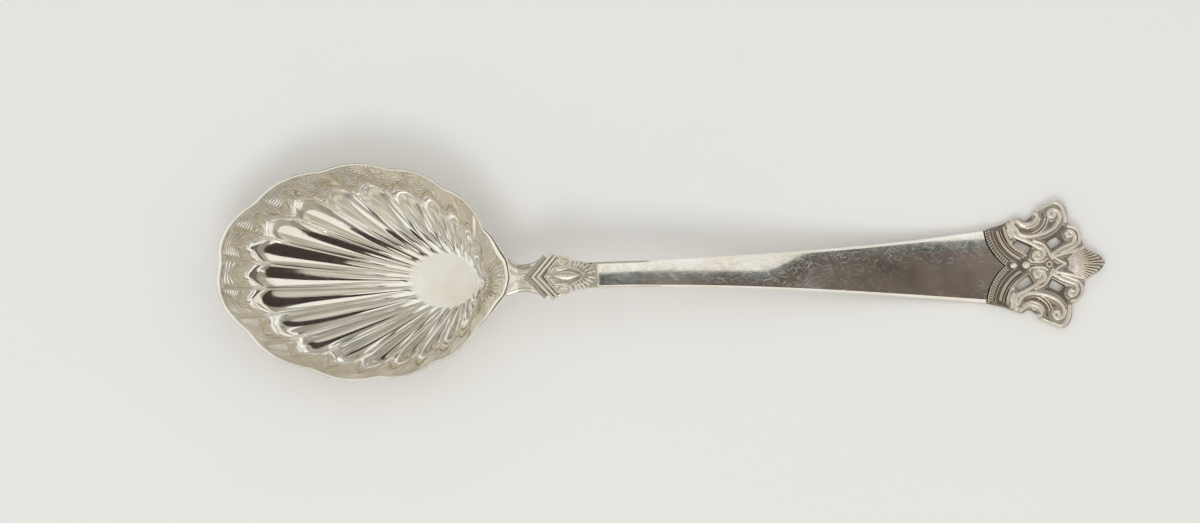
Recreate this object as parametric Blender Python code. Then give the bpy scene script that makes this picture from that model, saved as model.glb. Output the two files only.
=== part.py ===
"""Jam spoon in silver: a fluted shell bowl, a stem with a chevron collar and a leaf, an arched blade
and a pierced scrollwork finial, soldered together.

The spoon lies on a table, +X runs from the bowl to the finial and +Z points up.
Every length is in metres.
"""
import math

import bmesh
import bpy
import numpy as np
from mathutils import Vector
from mathutils.geometry import delaunay_2d_cdt

SLIVER_AREA = 1e-11
SMALLEST_LENGTH = 1e-9
HEX_ROW = math.sqrt(3) / 2
GRID_MARGIN = 0.45
MITRE_LIMIT = 0.5

# Joints between the pieces
SOLDER_GAP = 0.00006
HEEL_GAP = 0.00012

# Bowl
BOWL_LENGTH = 0.0488
BOWL_WIDTH = 0.0365
BOWL_DEPTH = 0.009
BOWL_WALL = 0.0009
BOWL_POINT = 0.0013
BOWL_SET = math.radians(4.6)
RIM_LAND = 0.0006
RIM_FULLNESS = 0.04
FLUTES = 24
FLUTE_SAMPLES = 6
BOWL_ROWS = (0.0, 0.14, 0.3, 0.5, 0.65, 0.76, 0.84, 0.92, 1.0)
FLUTE_DEPTH_SHARE = 0.15
FLUTE_SPREAD = math.radians(9.2)
FLUTE_SPREAD_FORE = math.radians(4.4)
SCALLOP_DEPTH = 0.0008
NOTCH_SOFTNESS = 0.02
BAND_AT_TIP = 0.0049
BAND_AT_NECK = 0.0032
BAND_START_LEAST = 0.2
SCOOP_END_LAP = 0.05
SCOOP_END_ROUND = 0.12
SCOOP_END_RUN = 0.11
BACK_FLUTE_SHARE = 0.7
FLOOR_RISE = 0.0036
FLOOR_CURVE = 1.6
WALL_BLEND = 0.0012
BOSS_LENGTH = 0.0108
BOSS_WIDTH = 0.0094
BOSS_FROM_NECK = 0.0107
BOSS_DISH = 0.0002
RIM_STRAIGHT_FROM = math.radians(150)
SCALLOP_FROM = 0.5
WALL_THINS_FROM = 0.6
BOSS_RING = 0.5
SURFACE_STEP = 0.01

# Stem
STEM_LENGTH = 0.012
NECK_ROOT_WIDTH = 0.0065
NECK_FLARE_WIDTH = 0.0053
NECK_WAIST_WIDTH = 0.00455
COLLAR_SEAT_WIDTH = 0.00505
PAD_WIDTH = 0.0067
SHOULDER_WIDTH = 0.0072
PAD_END_WIDTH = 0.0051
NECK_ROOT_THICKNESS = 0.0034
STEM_THICKNESS = 0.0025
NECK_BEND_LENGTH = 0.003
NECK_LENGTH = 0.0036
HEEL_WIDTH = 0.003
NECK_SLOPE = 0.2
BEND_STEPS = 12
HEEL_COLUMNS = 12
HEEL_LEVELS = 20
HEEL_LOWEST = 4
HEEL_REACH = 1.5
END_FACE_COLUMNS = 8
STEM_SECTION = [(0.0, 0.0), (0.0, 0.3), (0.45, 0.62), (0.85, 0.9)]

# Chevron collar
COLLAR_BEAD_WIDTH = 0.00072
COLLAR_RAIL_WIDTH = 0.00062
COLLAR_HEIGHT = 0.00075
COLLAR_VERTEX = 0.0033
COLLAR_REACH = 0.0032
COLLAR_SPANS = (0.0069, 0.0077, 0.007)

# Shoulder leaf
LEAF_START = 0.0062
LEAF_LENGTH = 0.0087
LEAF_PLATE = 0.00035
LEAF_RELIEF = 0.0005
LEAF_SPACING = 0.00042

# Blade
BLADE_LENGTH = 0.06875
BLADE_ROOT_WIDTH = 0.00435
BLADE_ROOT_THICKNESS = 0.0023
BLADE_END_THICKNESS = 0.0017
BLADE_BEVEL = 0.00035
TONGUE_STEPS = 8
BLADE_ROWS = 18

# Finial
FINIAL_LENGTH = 0.02005
FINIAL_WIDTH = 0.0216
FINIAL_PLATE = 0.00115
FINIAL_RELIEF = 0.0006
FINIAL_EDGE_DROP = 0.0002
SCROLL_WIDTH = 0.001
RING_WIDTH = 0.00084
PALMETTE_RIB_WIDTH = 0.00072
EYELET_WIDTH = 0.0006
FINIAL_SPACING = 0.00048

# Section of every half-round wire: shares of its width and height
HALF_ROUND = [(0.5, 0.0), (0.5, 0.35), (0.32, 0.8), (0.0, 1.0), (-0.32, 0.8), (-0.5, 0.35), (-0.5, 0.0)]

# Wires and grains on the finial
ROPE_WIDTH = 0.00088
ROPE_HEIGHT = 0.0006
REED_WIDTH = 0.00055
REED_HEIGHT = 0.00045
BEAD_SIDES = 14
BEAD_LEVELS = 4
BEAD_TOP_TILT = math.radians(72)
BEAD_SMALL = (0.0013, 0.00105, 0.00055)
BEAD_LARGE = (0.0016, 0.0014, 0.0007)

RIM_HEIGHT = BOWL_DEPTH + BOWL_WALL
FINIAL_START = STEM_LENGTH + BLADE_LENGTH
HALF_TURN_FLUTES = FLUTES // 2

# Finial drawing: shares of the finial's length along the axis and of half its width across it
FINIAL_ROOT_SHARE = 0.574
FINIAL_FLANK = [(0.13, 0.645), (0.21, 0.708), (0.283, 0.751)]
FINIAL_NOTCH = [(0.283, 0.751), (0.339, 0.701), (0.393, 0.764), (0.42, 0.843)]
FINIAL_PEAK = [(0.42, 0.843), (0.52, 0.93), (0.61, 1.0), (0.666, 0.944), (0.698, 0.819), (0.702, 0.634)]
FINIAL_SIDE_LOBE = [(0.702, 0.634), (0.757, 0.574), (0.8, 0.488), (0.814, 0.362), (0.823, 0.259)]
FINIAL_TIP_LEAF = [(0.823, 0.259), (0.89, 0.19), (0.957, 0.11), (1.0, 0.0)]
PIERCING_NEAR = [(0.224, 0.324), (0.264, 0.389), (0.382, 0.28), (0.344, 0.166)]
PIERCING_FAR = [(0.509, 0.349), (0.594, 0.433), (0.651, 0.355), (0.547, 0.236)]
BAND_CENTRE = (0.424, 0.671)
TONGUE_RADIUS = 0.442
ROPE_RADIUS = 0.4165
REED_RADIUS = 0.332
ROPE_SPAN = (0.02, 0.9)
REED_SPAN = (0.06, 0.68)
REED_BY_PIERCING = [(0.155, 0.612), (0.17, 0.482), (0.204, 0.35), (0.25, 0.254), (0.3, 0.19), (0.337, 0.136)]
BAND_STEPS = 9
SCROLL_STEM = [(0.272, 0.73), (0.236, 0.65), (0.224, 0.556), (0.244, 0.472), (0.3, 0.412), (0.36, 0.345),
               (0.41, 0.292)]
EYE_CENTRE = (0.446, 0.16)
EYE_RADIUS = 0.052
C_SCROLL_CENTRE = (0.364, 0.773)
C_SCROLL_RADII = (0.085, 0.135, 0.176)
C_SCROLL_SWEEP = (math.radians(190), math.radians(350))
PEAK_VOLUTE = (0.581, 0.764)
PEAK_VOLUTE_RADIUS = 0.062
SIDE_VOLUTE = (0.71, 0.46)
SIDE_VOLUTE_RADIUS = 0.06
SIDE_STEM = [(0.55, 0.13), (0.61, 0.25), (0.67, 0.33), (0.73, 0.345)]
PALMETTE_ROOT = 0.6
PALMETTE_RIBS = 4
PALMETTE_FAN = math.radians(33)
PALMETTE_LENGTH = 0.38
PALMETTE_SHORTENS = 0.13
PALMETTE_SHORTENING_POWER = 0.7
PALMETTE_INSIDE = 0.14
PALMETTE_LEAF = [(0.56, 0.04), (0.64, 0.09), (0.72, 0.17), (0.8, 0.24)]
EYELET_AT = 0.527
EYELET_RADIUS = 0.024
STEM_RISE = 0.9
RING_RISE = 0.85
EYELET_RISE = 0.7
RING_STEPS = 16
BEAD_SMALL_AT = 0.226
BEAD_LARGE_AT = 0.33

# Leaf drawing: shares of the leaf's length along the axis and of half the shoulder's width across it
LEAF_OUTLINE = [(0.0, 0.0), (0.12, 0.5), (0.235, 0.82), (0.3, 0.9), (0.39, 0.93), (0.48, 0.84), (0.56, 0.7),
                (0.68, 0.65), (0.82, 0.6), (0.93, 0.43), (0.99, 0.2), (1.0, 0.0)]
LEAF_VOLUTE = (0.37, 0.62)
LEAF_VOLUTE_RADIUS = 0.085
LEAF_FAN_ROOT = 0.52
LEAF_FAN_RIBS = 3
LEAF_FAN = math.radians(64)
LEAF_FAN_INSIDE = 0.0009
LEAF_FAN_LENGTH = 0.00365
LEAF_FAN_SHORTENS = 0.0012
LEAF_MIDRIB = [(0.22, 0.0), (0.58, 0.0)]
LEAF_MIDRIB_WIDTH = 0.0014
LEAF_BUD = [(0.08, 0.0), (0.1, 0.0)]
LEAF_RIB_WIDTH = 0.0007
LEAF_EYE_WIDTH = 0.00084
LEAF_VOLUTE_RISE = 0.8
LEAF_RIB_RISE = 0.75
LEAF_BUD_RISE = 0.8

# Finishes: colour and roughness
POLISHED = ((0.80, 0.78, 0.74, 1.0), 0.18)
WORKED = ((0.62, 0.60, 0.56, 1.0), 0.3)

SHARP_ANGLE = math.radians(40)
WIRE_SHARP_ANGLE = math.radians(60)


def smooth_step(value):
    """Ease from 0 to 1."""
    value = min(max(value, 0.0), 1.0)
    return value * value * (3.0 - 2.0 * value)


def spline(points, steps):
    """Smooth plan curve through the points, with the given number of steps between neighbours."""
    points = [Vector(point) for point in points]
    ends = [2 * points[0] - points[1]] + points + [2 * points[-1] - points[-2]]
    curve = []
    for before, start, end, after in zip(ends, ends[1:], ends[2:], ends[3:]):
        for step in range(steps):
            t = step / steps
            curve.append(0.5 * (2 * start + (end - before) * t
                                + (2 * before - 5 * start + 4 * end - after) * t ** 2
                                + (3 * start - before - 3 * end + after) * t ** 3))
    curve.append(points[-1])
    return [tuple(point) for point in curve]


def arc(centre, radius, start, end, steps):
    """Plan arc between two angles."""
    angles = [start + (end - start) * step / steps for step in range(steps + 1)]
    return [(centre[0] + radius * math.cos(a), centre[1] + radius * math.sin(a)) for a in angles]


def mirrored(points):
    """The same points on the other side of the axis."""
    return [(x, -y) for x, y in points]


def ridge_relief(points, ridges):
    """Height of the round-topped ridges over each plan point, as a share of the full relief."""
    heights = np.zeros(len(points))
    for path, half_width, height in ridges:
        path = np.array(path)
        start = path[:-1]
        way = path[1:] - start
        lengths = np.maximum((way ** 2).sum(axis=1), SMALLEST_LENGTH ** 2)
        offset = points[:, None, :] - start[None, :, :]
        share = np.clip((offset * way[None]).sum(axis=2) / lengths, 0.0, 1.0)
        gap = np.linalg.norm(offset - share[:, :, None] * way[None], axis=2).min(axis=1)
        swell = np.sqrt(np.maximum(1.0 - (gap / half_width) ** 2, 0.0))
        heights = np.maximum(heights, height * swell)
    return heights


def inside_loop(points, loop):
    """Which plan points lie inside a closed loop."""
    x, y = points[:, 0], points[:, 1]
    inside = np.zeros(len(points), dtype=bool)
    for (x0, y0), (x1, y1) in zip(loop, loop[1:] + loop[:1]):
        if y0 == y1:
            continue
        crosses = (y0 > y) != (y1 > y)
        inside ^= crosses & (x < x0 + (y - y0) * (x1 - x0) / (y1 - y0))
    return inside


def loop_distance(points, loop):
    """Distance of each plan point from a closed loop."""
    closed = np.array(loop + loop[:1])
    start = closed[:-1]
    way = closed[1:] - start
    lengths = np.maximum((way ** 2).sum(axis=1), SMALLEST_LENGTH ** 2)
    offset = points[:, None, :] - start[None, :, :]
    share = np.clip((offset * way[None]).sum(axis=2) / lengths, 0.0, 1.0)
    return np.linalg.norm(offset - share[:, :, None] * way[None], axis=2).min(axis=1)


def triangulate(points, loops):
    """Triangles over the area between the first loop and the others, which are holes in it."""
    edges = []
    first = 0
    for loop in loops:
        count = len(loop)
        edges += [(first + index, first + (index + 1) % count) for index in range(count)]
        first += count
    result = delaunay_2d_cdt([Vector(point) for point in points], edges, [], 0, SMALLEST_LENGTH)
    plan = np.array([tuple(vertex) for vertex in result[0]])
    triangles = np.array(result[2])
    middles = plan[triangles].mean(axis=1)
    first_side = plan[triangles[:, 1]] - plan[triangles[:, 0]]
    second_side = plan[triangles[:, 2]] - plan[triangles[:, 0]]
    area = np.abs(first_side[:, 0] * second_side[:, 1] - first_side[:, 1] * second_side[:, 0])
    keep = inside_loop(middles, loops[0]) & (area > SLIVER_AREA)
    for loop in loops[1:]:
        keep &= ~inside_loop(middles, loop)
    return plan, triangles[keep]


def make_material(name, finish):
    """Plain metal of the given colour and roughness."""
    colour, roughness = finish
    material = bpy.data.materials.new(name)
    material.use_nodes = True
    shader = material.node_tree.nodes["Principled BSDF"]
    shader.inputs["Base Color"].default_value = colour
    shader.inputs["Metallic"].default_value = 1.0
    shader.inputs["Roughness"].default_value = roughness
    return material


def add_piece(name, vertices, faces, finish, parent, sharp_angle=SHARP_ANGLE):
    """Closed mesh, smooth shaded except over sharp edges."""
    mesh = bpy.data.meshes.new(name)
    mesh.from_pydata(vertices, [], faces)
    shell = bmesh.new()
    shell.from_mesh(mesh)
    bmesh.ops.recalc_face_normals(shell, faces=shell.faces)
    shell.to_mesh(mesh)
    shell.free()
    mesh.shade_smooth()
    mesh.set_sharp_from_angle(angle=sharp_angle)
    mesh.materials.append(make_material(name + "_silver", finish))
    piece = bpy.data.objects.new(name, mesh)
    bpy.context.collection.objects.link(piece)
    piece.parent = parent
    return piece


def skin_rings(rings, cap_first=True, cap_last=True):
    """Faces over a row of equal closed rings, with a flat cap on either end where it is wanted."""
    count = len(rings[0])
    vertices = [vertex for ring in rings for vertex in ring]
    faces = []
    for row in range(len(rings) - 1):
        for column in range(count):
            following = (column + 1) % count
            low = row * count
            high = low + count
            faces.append((low + column, low + following, high + following, high + column))
    if cap_first:
        faces.append(tuple(reversed(range(count))))
    if cap_last:
        last = (len(rings) - 1) * count
        faces.append(tuple(range(last, last + count)))
    return vertices, faces


# Side view of the handle


def handle_top(x):
    """Height of the upper face of stem, blade and finial border above the table."""
    t = min(max(x / FINIAL_START, 0.0), 1.0)
    start = 2 * t ** 3 - 3 * t ** 2 + 1
    rise = t ** 3 - 2 * t ** 2 + t
    end = 3 * t ** 2 - 2 * t ** 3
    return start * RIM_HEIGHT + rise * FINIAL_START * NECK_SLOPE + end * BLADE_END_THICKNESS


def neck_turn(x):
    """Angle of the stem's axis in plan: the bowl's own angle at the joint, none past the bend."""
    return -BOWL_SET * (1.0 - smooth_step(x / NECK_BEND_LENGTH))


def neck_share(x):
    """How much of the heel is left: all of it at the joint, none past the neck."""
    return 1.0 - smooth_step(x / NECK_LENGTH)


def neck_offset(x):
    """Sideways place of the stem's axis, from the bend back to the joint."""
    left = max(NECK_BEND_LENGTH - x, 0.0)
    turns = [neck_turn(x + left * (step + 0.5) / BEND_STEPS) for step in range(BEND_STEPS)]
    return -sum(math.tan(turn) for turn in turns) * left / BEND_STEPS


# Bowl


def flute_angle(flute):
    """Angle round the rim's ellipse of a flute, counted from the tip towards the neck."""
    share = abs(flute) / HALF_TURN_FLUTES
    angle = math.pi * share + FLUTE_SPREAD * math.sin(math.pi * share)
    angle += FLUTE_SPREAD_FORE * math.sin(2 * math.pi * share)
    return math.copysign(angle, flute)


def rim_point(flute):
    """Outer edge of the rim in plan before the scallops: an oval, fuller by the neck and drawn out to it."""
    half_length = (BOWL_LENGTH - BOWL_POINT) / 2
    half_width = BOWL_WIDTH / 2
    centre = half_length - BOWL_LENGTH
    side = math.copysign(1.0, flute)
    angle = abs(flute_angle(flute))
    corner_angle = flute_angle(HALF_TURN_FLUTES - 0.5)
    ellipse_angle = min(angle, RIM_STRAIGHT_FROM)
    x = centre - half_length * math.cos(ellipse_angle)
    y = half_width * math.sin(ellipse_angle) * (1 - RIM_FULLNESS * math.cos(ellipse_angle))
    if angle > RIM_STRAIGHT_FROM:
        share = min((angle - RIM_STRAIGHT_FROM) / (corner_angle - RIM_STRAIGHT_FROM), 1.0)
        x = x * (1 - share)
        y = y + (NECK_ROOT_WIDTH / 2 - y) * share
    if angle > corner_angle:
        y = y * (math.pi - angle) / (math.pi - corner_angle)
    return np.array((x, side * y))


def boss_point(flute):
    """Edge of the smooth boss in plan."""
    angle = flute_angle(flute)
    return np.array((-BOSS_FROM_NECK - BOSS_LENGTH / 2 * math.cos(angle), BOSS_WIDTH / 2 * math.sin(angle)))


def neck_fade(flute):
    """Flutes and scallops die out beside the neck."""
    return smooth_step(HALF_TURN_FLUTES - 1 - abs(flute))


def scallop(flute):
    """How far the rim falls back at this place: most at the even flutes, none at the odd ones."""
    wave = math.sqrt(math.sin(math.pi * flute / 2) ** 2 + NOTCH_SOFTNESS)
    return SCALLOP_DEPTH * max(1.0 - wave, 0.0) * neck_fade(flute)


def wall_foot(flute):
    """Where the scoops end and the wall begins: share of the way from boss to rim, and height."""
    span = np.linalg.norm(rim_point(flute) - boss_point(flute))
    longest = BOWL_LENGTH - BOSS_FROM_NECK - BOSS_LENGTH / 2
    neck_side = abs(flute) / HALF_TURN_FLUTES
    band = BAND_AT_TIP + (BAND_AT_NECK - BAND_AT_TIP) * neck_side
    share = max(1.0 - band / span, BAND_START_LEAST)
    return share, FLOOR_RISE * math.sqrt(share * span / longest)


def soft_max(first, second, blend):
    """The larger of two heights, with a round passage from one to the other."""
    return 0.5 * (first + second + math.sqrt((first - second) ** 2 + blend ** 2))


def bowl_height(flute, share):
    """Height of the inner face above the boss: a rising floor that turns up into the wall."""
    foot, rise = wall_foot(flute)
    floor = rise * (share / foot) ** FLOOR_CURVE
    wall = BOWL_DEPTH - (BOWL_DEPTH - rise) * (1.0 - share) / (1.0 - foot)
    return soft_max(floor, wall, WALL_BLEND * smooth_step(share / foot))


def bowl_base(flute, share):
    """Inner face of the bowl without its flutes, from the boss at share 0 to the rim at share 1."""
    start = boss_point(flute)
    way = rim_point(flute) - start
    fall = scallop(flute) * smooth_step((share - SCALLOP_FROM) / (1.0 - SCALLOP_FROM))
    reach = np.linalg.norm(way) - RIM_LAND - fall
    x, y = start + way / np.linalg.norm(way) * reach * share
    height = BOWL_DEPTH * bowl_height(flute, share) / bowl_height(flute, 1.0)
    return np.array((x, y, BOWL_WALL + height))


def flute_depth(flute, share):
    """Depth of the scoops, with round ends at the foot of the wall."""
    middle = round(flute)
    across = 2.0 * (flute - middle)
    width = np.linalg.norm(bowl_base(middle + 0.5, share)[:2] - bowl_base(middle - 0.5, share)[:2])
    end = wall_foot(flute)[0] + SCOOP_END_LAP - SCOOP_END_ROUND * across ** 2
    ends = smooth_step((end - share) / SCOOP_END_RUN) * smooth_step(share / SCOOP_END_RUN)
    return FLUTE_DEPTH_SHARE * width * (1.0 - across ** 2) * ends * neck_fade(flute)


def bowl_points(flute, share):
    """Inner and outer face of the bowl at one place."""
    base = bowl_base(flute, share)
    low = max(share - SURFACE_STEP, 0.0)
    high = min(share + SURFACE_STEP, 1.0)
    along = bowl_base(flute, high) - bowl_base(flute, low)
    round_rim = bowl_base(flute + SURFACE_STEP, share) - bowl_base(flute - SURFACE_STEP, share)
    normal = np.cross(along, round_rim)
    normal /= np.linalg.norm(normal)
    if normal[2] < 0:
        normal = -normal
    depth = flute_depth(flute, share)
    inner = base - normal * depth
    thinned = smooth_step((share - WALL_THINS_FROM) / (1.0 - WALL_THINS_FROM))
    wall = BOWL_WALL + (RIM_LAND - BOWL_WALL) * thinned
    outer = base - normal * (wall + BACK_FLUTE_SHARE * depth)
    outer[0] = min(outer[0], 0.0)
    outer[2] = max(outer[2], 0.0)
    return inner, outer


def rim_edge(flute):
    """Outer edge of the rim with its scallops."""
    way = rim_point(flute) - boss_point(flute)
    x, y = rim_point(flute) - way / np.linalg.norm(way) * scallop(flute)
    return np.array((min(x, 0.0), y, RIM_HEIGHT))


def heel_rows():
    """Outer face of the bowl round the neck's root: one row of places, from low to high, for each flute."""
    flutes = np.linspace(HALF_TURN_FLUTES - HEEL_REACH, HALF_TURN_FLUTES, HEEL_COLUMNS + 1)
    shares = [level / HEEL_LEVELS for level in range(HEEL_LOWEST, HEEL_LEVELS + 1)]
    rows = []
    for flute in flutes:
        row = np.array([bowl_points(flute, share)[1] for share in shares] + [rim_edge(flute)])
        rows.append(row[np.argsort(row[:, 2])])
    return rows


def heel_place(rows, y, height):
    """Where along the axis the bowl's outer face lies, at a place across it and a height."""
    across = [np.interp(height, row[:, 2], row[:, 1]) for row in rows]
    along = [np.interp(height, row[:, 2], row[:, 0]) for row in rows]
    order = np.argsort(across)
    return np.interp(abs(y), np.array(across)[order], np.array(along)[order])


def build_bowl(finish, parent):
    """Raised sheet: boss, fluted floor, wall and rim inside, and the same form outside."""
    columns = FLUTES * FLUTE_SAMPLES
    flutes = [column / FLUTE_SAMPLES - HALF_TURN_FLUTES for column in range(columns)]
    inner_rings = []
    outer_rings = []
    middle = np.array((-BOSS_FROM_NECK, 0.0))
    floor = [middle + BOSS_RING * (boss_point(flute) - middle) for flute in flutes]
    inner_rings.append([(x, y, BOWL_WALL - BOSS_DISH * (1.0 - BOSS_RING ** 2)) for x, y in floor])
    outer_rings.append([(x, y, 0.0) for x, y in floor])
    for share in BOWL_ROWS:
        pairs = [bowl_points(f, share) for f in flutes]
        inner_rings.append([tuple(inner) for inner, _ in pairs])
        outer_rings.append([tuple(outer) for _, outer in pairs])
    rim = [tuple(rim_edge(flute)) for flute in flutes]
    rings = inner_rings + [rim] + outer_rings[::-1]
    vertices = [vertex for ring in rings for vertex in ring]
    faces = []
    for row in range(len(rings) - 1):
        for column in range(columns):
            following = (column + 1) % columns
            low = row * columns
            high = low + columns
            faces.append((low + following, low + column, high + column, high + following))
    top = len(vertices)
    vertices.append((-BOSS_FROM_NECK, 0.0, BOWL_WALL - BOSS_DISH))
    vertices.append((-BOSS_FROM_NECK, 0.0, 0.0))
    last = (len(rings) - 1) * columns
    for column in range(columns):
        following = (column + 1) % columns
        faces.append((top, column, following))
        faces.append((top + 1, last + following, last + column))
    bowl = add_piece("bowl", vertices, faces, finish, parent)
    bowl.location = (0.0, neck_offset(0.0), 0.0)
    bowl.rotation_euler = (0.0, 0.0, -BOWL_SET)
    return bowl


def stem_place(x, along, y, height):
    """Place on the spoon of a point of the stem's section at x, moved along the section's own axis."""
    turn = neck_turn(x)
    return (x + along * math.cos(turn) - y * math.sin(turn),
            neck_offset(x) + along * math.sin(turn) + y * math.cos(turn), height)


def stem_section(x, half):
    """Right-hand half of the stem's section from its top to its underside, as places across and heights."""
    heel_share = neck_share(x)
    thickness = STEM_THICKNESS + (NECK_ROOT_THICKNESS - STEM_THICKNESS) * heel_share
    under = half + (HEEL_WIDTH / 2 - half) * heel_share
    right = []
    for inward, down in STEM_SECTION:
        right.append((half + (under - half) * inward, handle_top(x) - down * thickness))
    right.append((under / 2, handle_top(x) - thickness))
    left = [(-y, z) for y, z in right[::-1]]
    return [(0.0, right[0][1])] + right + [(0.0, right[-1][1])] + left


def build_stem(finish, parent):
    """Neck and shoulder pad, lofted along the axis; its end face follows the bowl's back."""
    stations = [(0.0, NECK_ROOT_WIDTH), (0.085, NECK_FLARE_WIDTH), (0.2, NECK_WAIST_WIDTH),
                (0.36, COLLAR_SEAT_WIDTH), (0.52, PAD_WIDTH), (0.61, SHOULDER_WIDTH), (0.7, PAD_WIDTH),
                (0.8, PAD_WIDTH), (0.91, PAD_END_WIDTH), (1.0, BLADE_ROOT_WIDTH)]
    outline = spline([(STEM_LENGTH * share, width / 2) for share, width in stations], 2)
    rows = heel_rows()
    rings = []
    seams = [HEEL_GAP] + [0.0] * (len(outline) - 2) + [-SOLDER_GAP]
    for (x, half), seam in zip(outline, seams):
        ring = []
        for y, height in stem_section(x, half):
            along = heel_place(rows, y, height) * neck_share(x) + seam
            ring.append(stem_place(x, along, y, height))
        rings.append(ring)
    vertices, faces = skin_rings(rings, cap_first=False)
    loop = stem_section(*outline[0])
    heights = sorted({height for _, height in loop})[1:-1]
    across = np.linspace(-NECK_ROOT_WIDTH / 2, NECK_ROOT_WIDTH / 2, END_FACE_COLUMNS + 1)
    middle = [(y, height) for height in heights for y in across]
    keep = inside_loop(np.array(middle), loop) & (loop_distance(np.array(middle), loop) > HEEL_GAP)
    middle = [point for point, wanted in zip(middle, keep) if wanted]
    _, triangles = triangulate(loop + middle, [loop])
    shift = len(vertices) - len(loop)
    for y, height in middle:
        vertices.append(stem_place(0.0, heel_place(rows, y, height) + HEEL_GAP, y, height))
    for triangle in triangles:
        faces.append([place if place < len(loop) else place + shift for place in triangle.tolist()])
    return add_piece("stem", vertices, faces, finish, parent)


def sweep_half_round(name, path, width, height, floor, finish, parent):
    """Wire with a flat underside and a round top, laid along a plan path on the given floor."""
    points = [np.array(point) for point in path]
    rings = []
    for index, point in enumerate(points):
        ahead = points[min(index + 1, len(points) - 1)] - point
        behind = point - points[max(index - 1, 0)]
        ahead = ahead / np.linalg.norm(ahead) if np.any(ahead) else behind / np.linalg.norm(behind)
        behind = behind / np.linalg.norm(behind) if np.any(behind) else ahead
        side = np.array((-(ahead[1] + behind[1]), ahead[0] + behind[0]))
        side /= np.linalg.norm(side)
        mitre = 1.0 / max(side @ np.array((-ahead[1], ahead[0])), MITRE_LIMIT)
        ring = []
        for across, up in HALF_ROUND:
            x, y = point + side * across * width * mitre
            ring.append((x, y, floor(x, y) + SOLDER_GAP + up * height))
        rings.append(ring)
    vertices, faces = skin_rings(rings)
    return add_piece(name, vertices, faces, finish, parent, WIRE_SHARP_ANGLE)


def build_collar(finish, parent):
    """Three V-shaped wires across the shoulder, points towards the bowl."""
    widths = [COLLAR_BEAD_WIDTH, COLLAR_RAIL_WIDTH, COLLAR_RAIL_WIDTH]
    names = ["collar_beaded_wire", "collar_front_rail", "collar_rear_rail"]
    slope = math.atan2(SHOULDER_WIDTH / 2, COLLAR_REACH)
    vertex = COLLAR_VERTEX
    for name, width, span, following in zip(names, widths, COLLAR_SPANS, widths[1:] + [0.0]):
        reach = span / 2
        arm = COLLAR_REACH * span / SHOULDER_WIDTH
        end = (vertex + arm, reach)
        half_way = (vertex + arm / 2, reach / 2)
        path = [end, half_way, (vertex, 0.0)] + mirrored([half_way, end])
        sweep_half_round(name, path, width, COLLAR_HEIGHT, lambda x, y: handle_top(x), finish, parent)
        vertex += ((width + following) / 2 + SOLDER_GAP) / math.sin(slope)


# Relief plates


def relief_plate(name, loops, spacing, bottom, top, finish, parent):
    """Plate with the given outline and holes, a plain back and a modelled face."""
    outer = np.array(loops[0])
    low, high = outer.min(axis=0), outer.max(axis=0)
    rows = np.arange(low[1] + spacing / 2, high[1], spacing * HEX_ROW)
    grid = []
    for index, y in enumerate(rows):
        shift = spacing / 2 if index % 2 else 0.0
        grid += [(x + shift, y) for x in np.arange(low[0], high[0], spacing)]
    grid = np.array(grid)
    keep = inside_loop(grid, loops[0]) & (loop_distance(grid, loops[0]) > GRID_MARGIN * spacing)
    for loop in loops[1:]:
        keep &= ~inside_loop(grid, loop) & (loop_distance(grid, loop) > GRID_MARGIN * spacing)
    boundary = [point for loop in loops for point in loop]
    plan, triangles = triangulate(boundary + [tuple(point) for point in grid[keep]], loops)
    _, back = triangulate(boundary, loops)
    vertices = [(x, y, z) for (x, y), z in zip(plan, top(plan))]
    base = len(vertices)
    vertices += [(x, y, z) for (x, y), z in zip(boundary, bottom(np.array(boundary)))]
    faces = [tuple(triangle) for triangle in triangles]
    faces += [(base + a, base + c, base + b) for a, b, c in back]
    first = 0
    for loop in loops:
        count = len(loop)
        for index in range(count):
            following = first + (index + 1) % count
            here = first + index
            faces.append((here, base + here, base + following, following))
        first += count
    return add_piece(name, vertices, faces, finish, parent)


def leaf_xy(point):
    """Place on the shoulder of a point of the leaf's drawing."""
    return (LEAF_START + point[0] * LEAF_LENGTH, point[1] * SHOULDER_WIDTH / 2)


def build_leaf(finish, parent):
    """Cast cartouche over the seam of stem and blade: volutes, a pointed leaf and a fan."""
    half = spline([leaf_xy(point) for point in LEAF_OUTLINE], 2)
    outline = mirrored(half) + half[::-1][1:-1]
    radius = LEAF_VOLUTE_RADIUS * LEAF_LENGTH
    centre = leaf_xy(LEAF_VOLUTE)
    ridges = []
    for side in (1.0, -1.0):
        eye = (centre[0], side * centre[1])
        ridges.append((arc(eye, radius, 0.0, math.tau, RING_STEPS), LEAF_RIB_WIDTH / 2, LEAF_VOLUTE_RISE))
        ridges.append(([eye, eye], LEAF_EYE_WIDTH / 2, 1.0))
        for rib in range(LEAF_FAN_RIBS + 1):
            angle = side * LEAF_FAN * rib / LEAF_FAN_RIBS
            root = np.array(leaf_xy((LEAF_FAN_ROOT, 0.0)))
            direction = np.array((math.cos(angle), math.sin(angle)))
            end = LEAF_FAN_LENGTH - LEAF_FAN_SHORTENS * rib / LEAF_FAN_RIBS
            start = tuple(root + LEAF_FAN_INSIDE * direction)
            ridges.append(([start, tuple(root + end * direction)], LEAF_RIB_WIDTH / 2, LEAF_RIB_RISE))
    ridges.append(([leaf_xy(point) for point in LEAF_MIDRIB], LEAF_MIDRIB_WIDTH / 2, 1.0))
    ridges.append(([leaf_xy(point) for point in LEAF_BUD], LEAF_EYE_WIDTH / 2, LEAF_BUD_RISE))

    def bottom(points):
        return [handle_top(x) + SOLDER_GAP for x, _ in points]

    def top(points):
        relief = LEAF_RELIEF * ridge_relief(points, ridges)
        return [handle_top(x) + SOLDER_GAP + LEAF_PLATE + rise for (x, _), rise in zip(points, relief)]

    return relief_plate("shoulder_leaf", [outline], LEAF_SPACING, bottom, top, finish, parent)


# Finial


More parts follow.
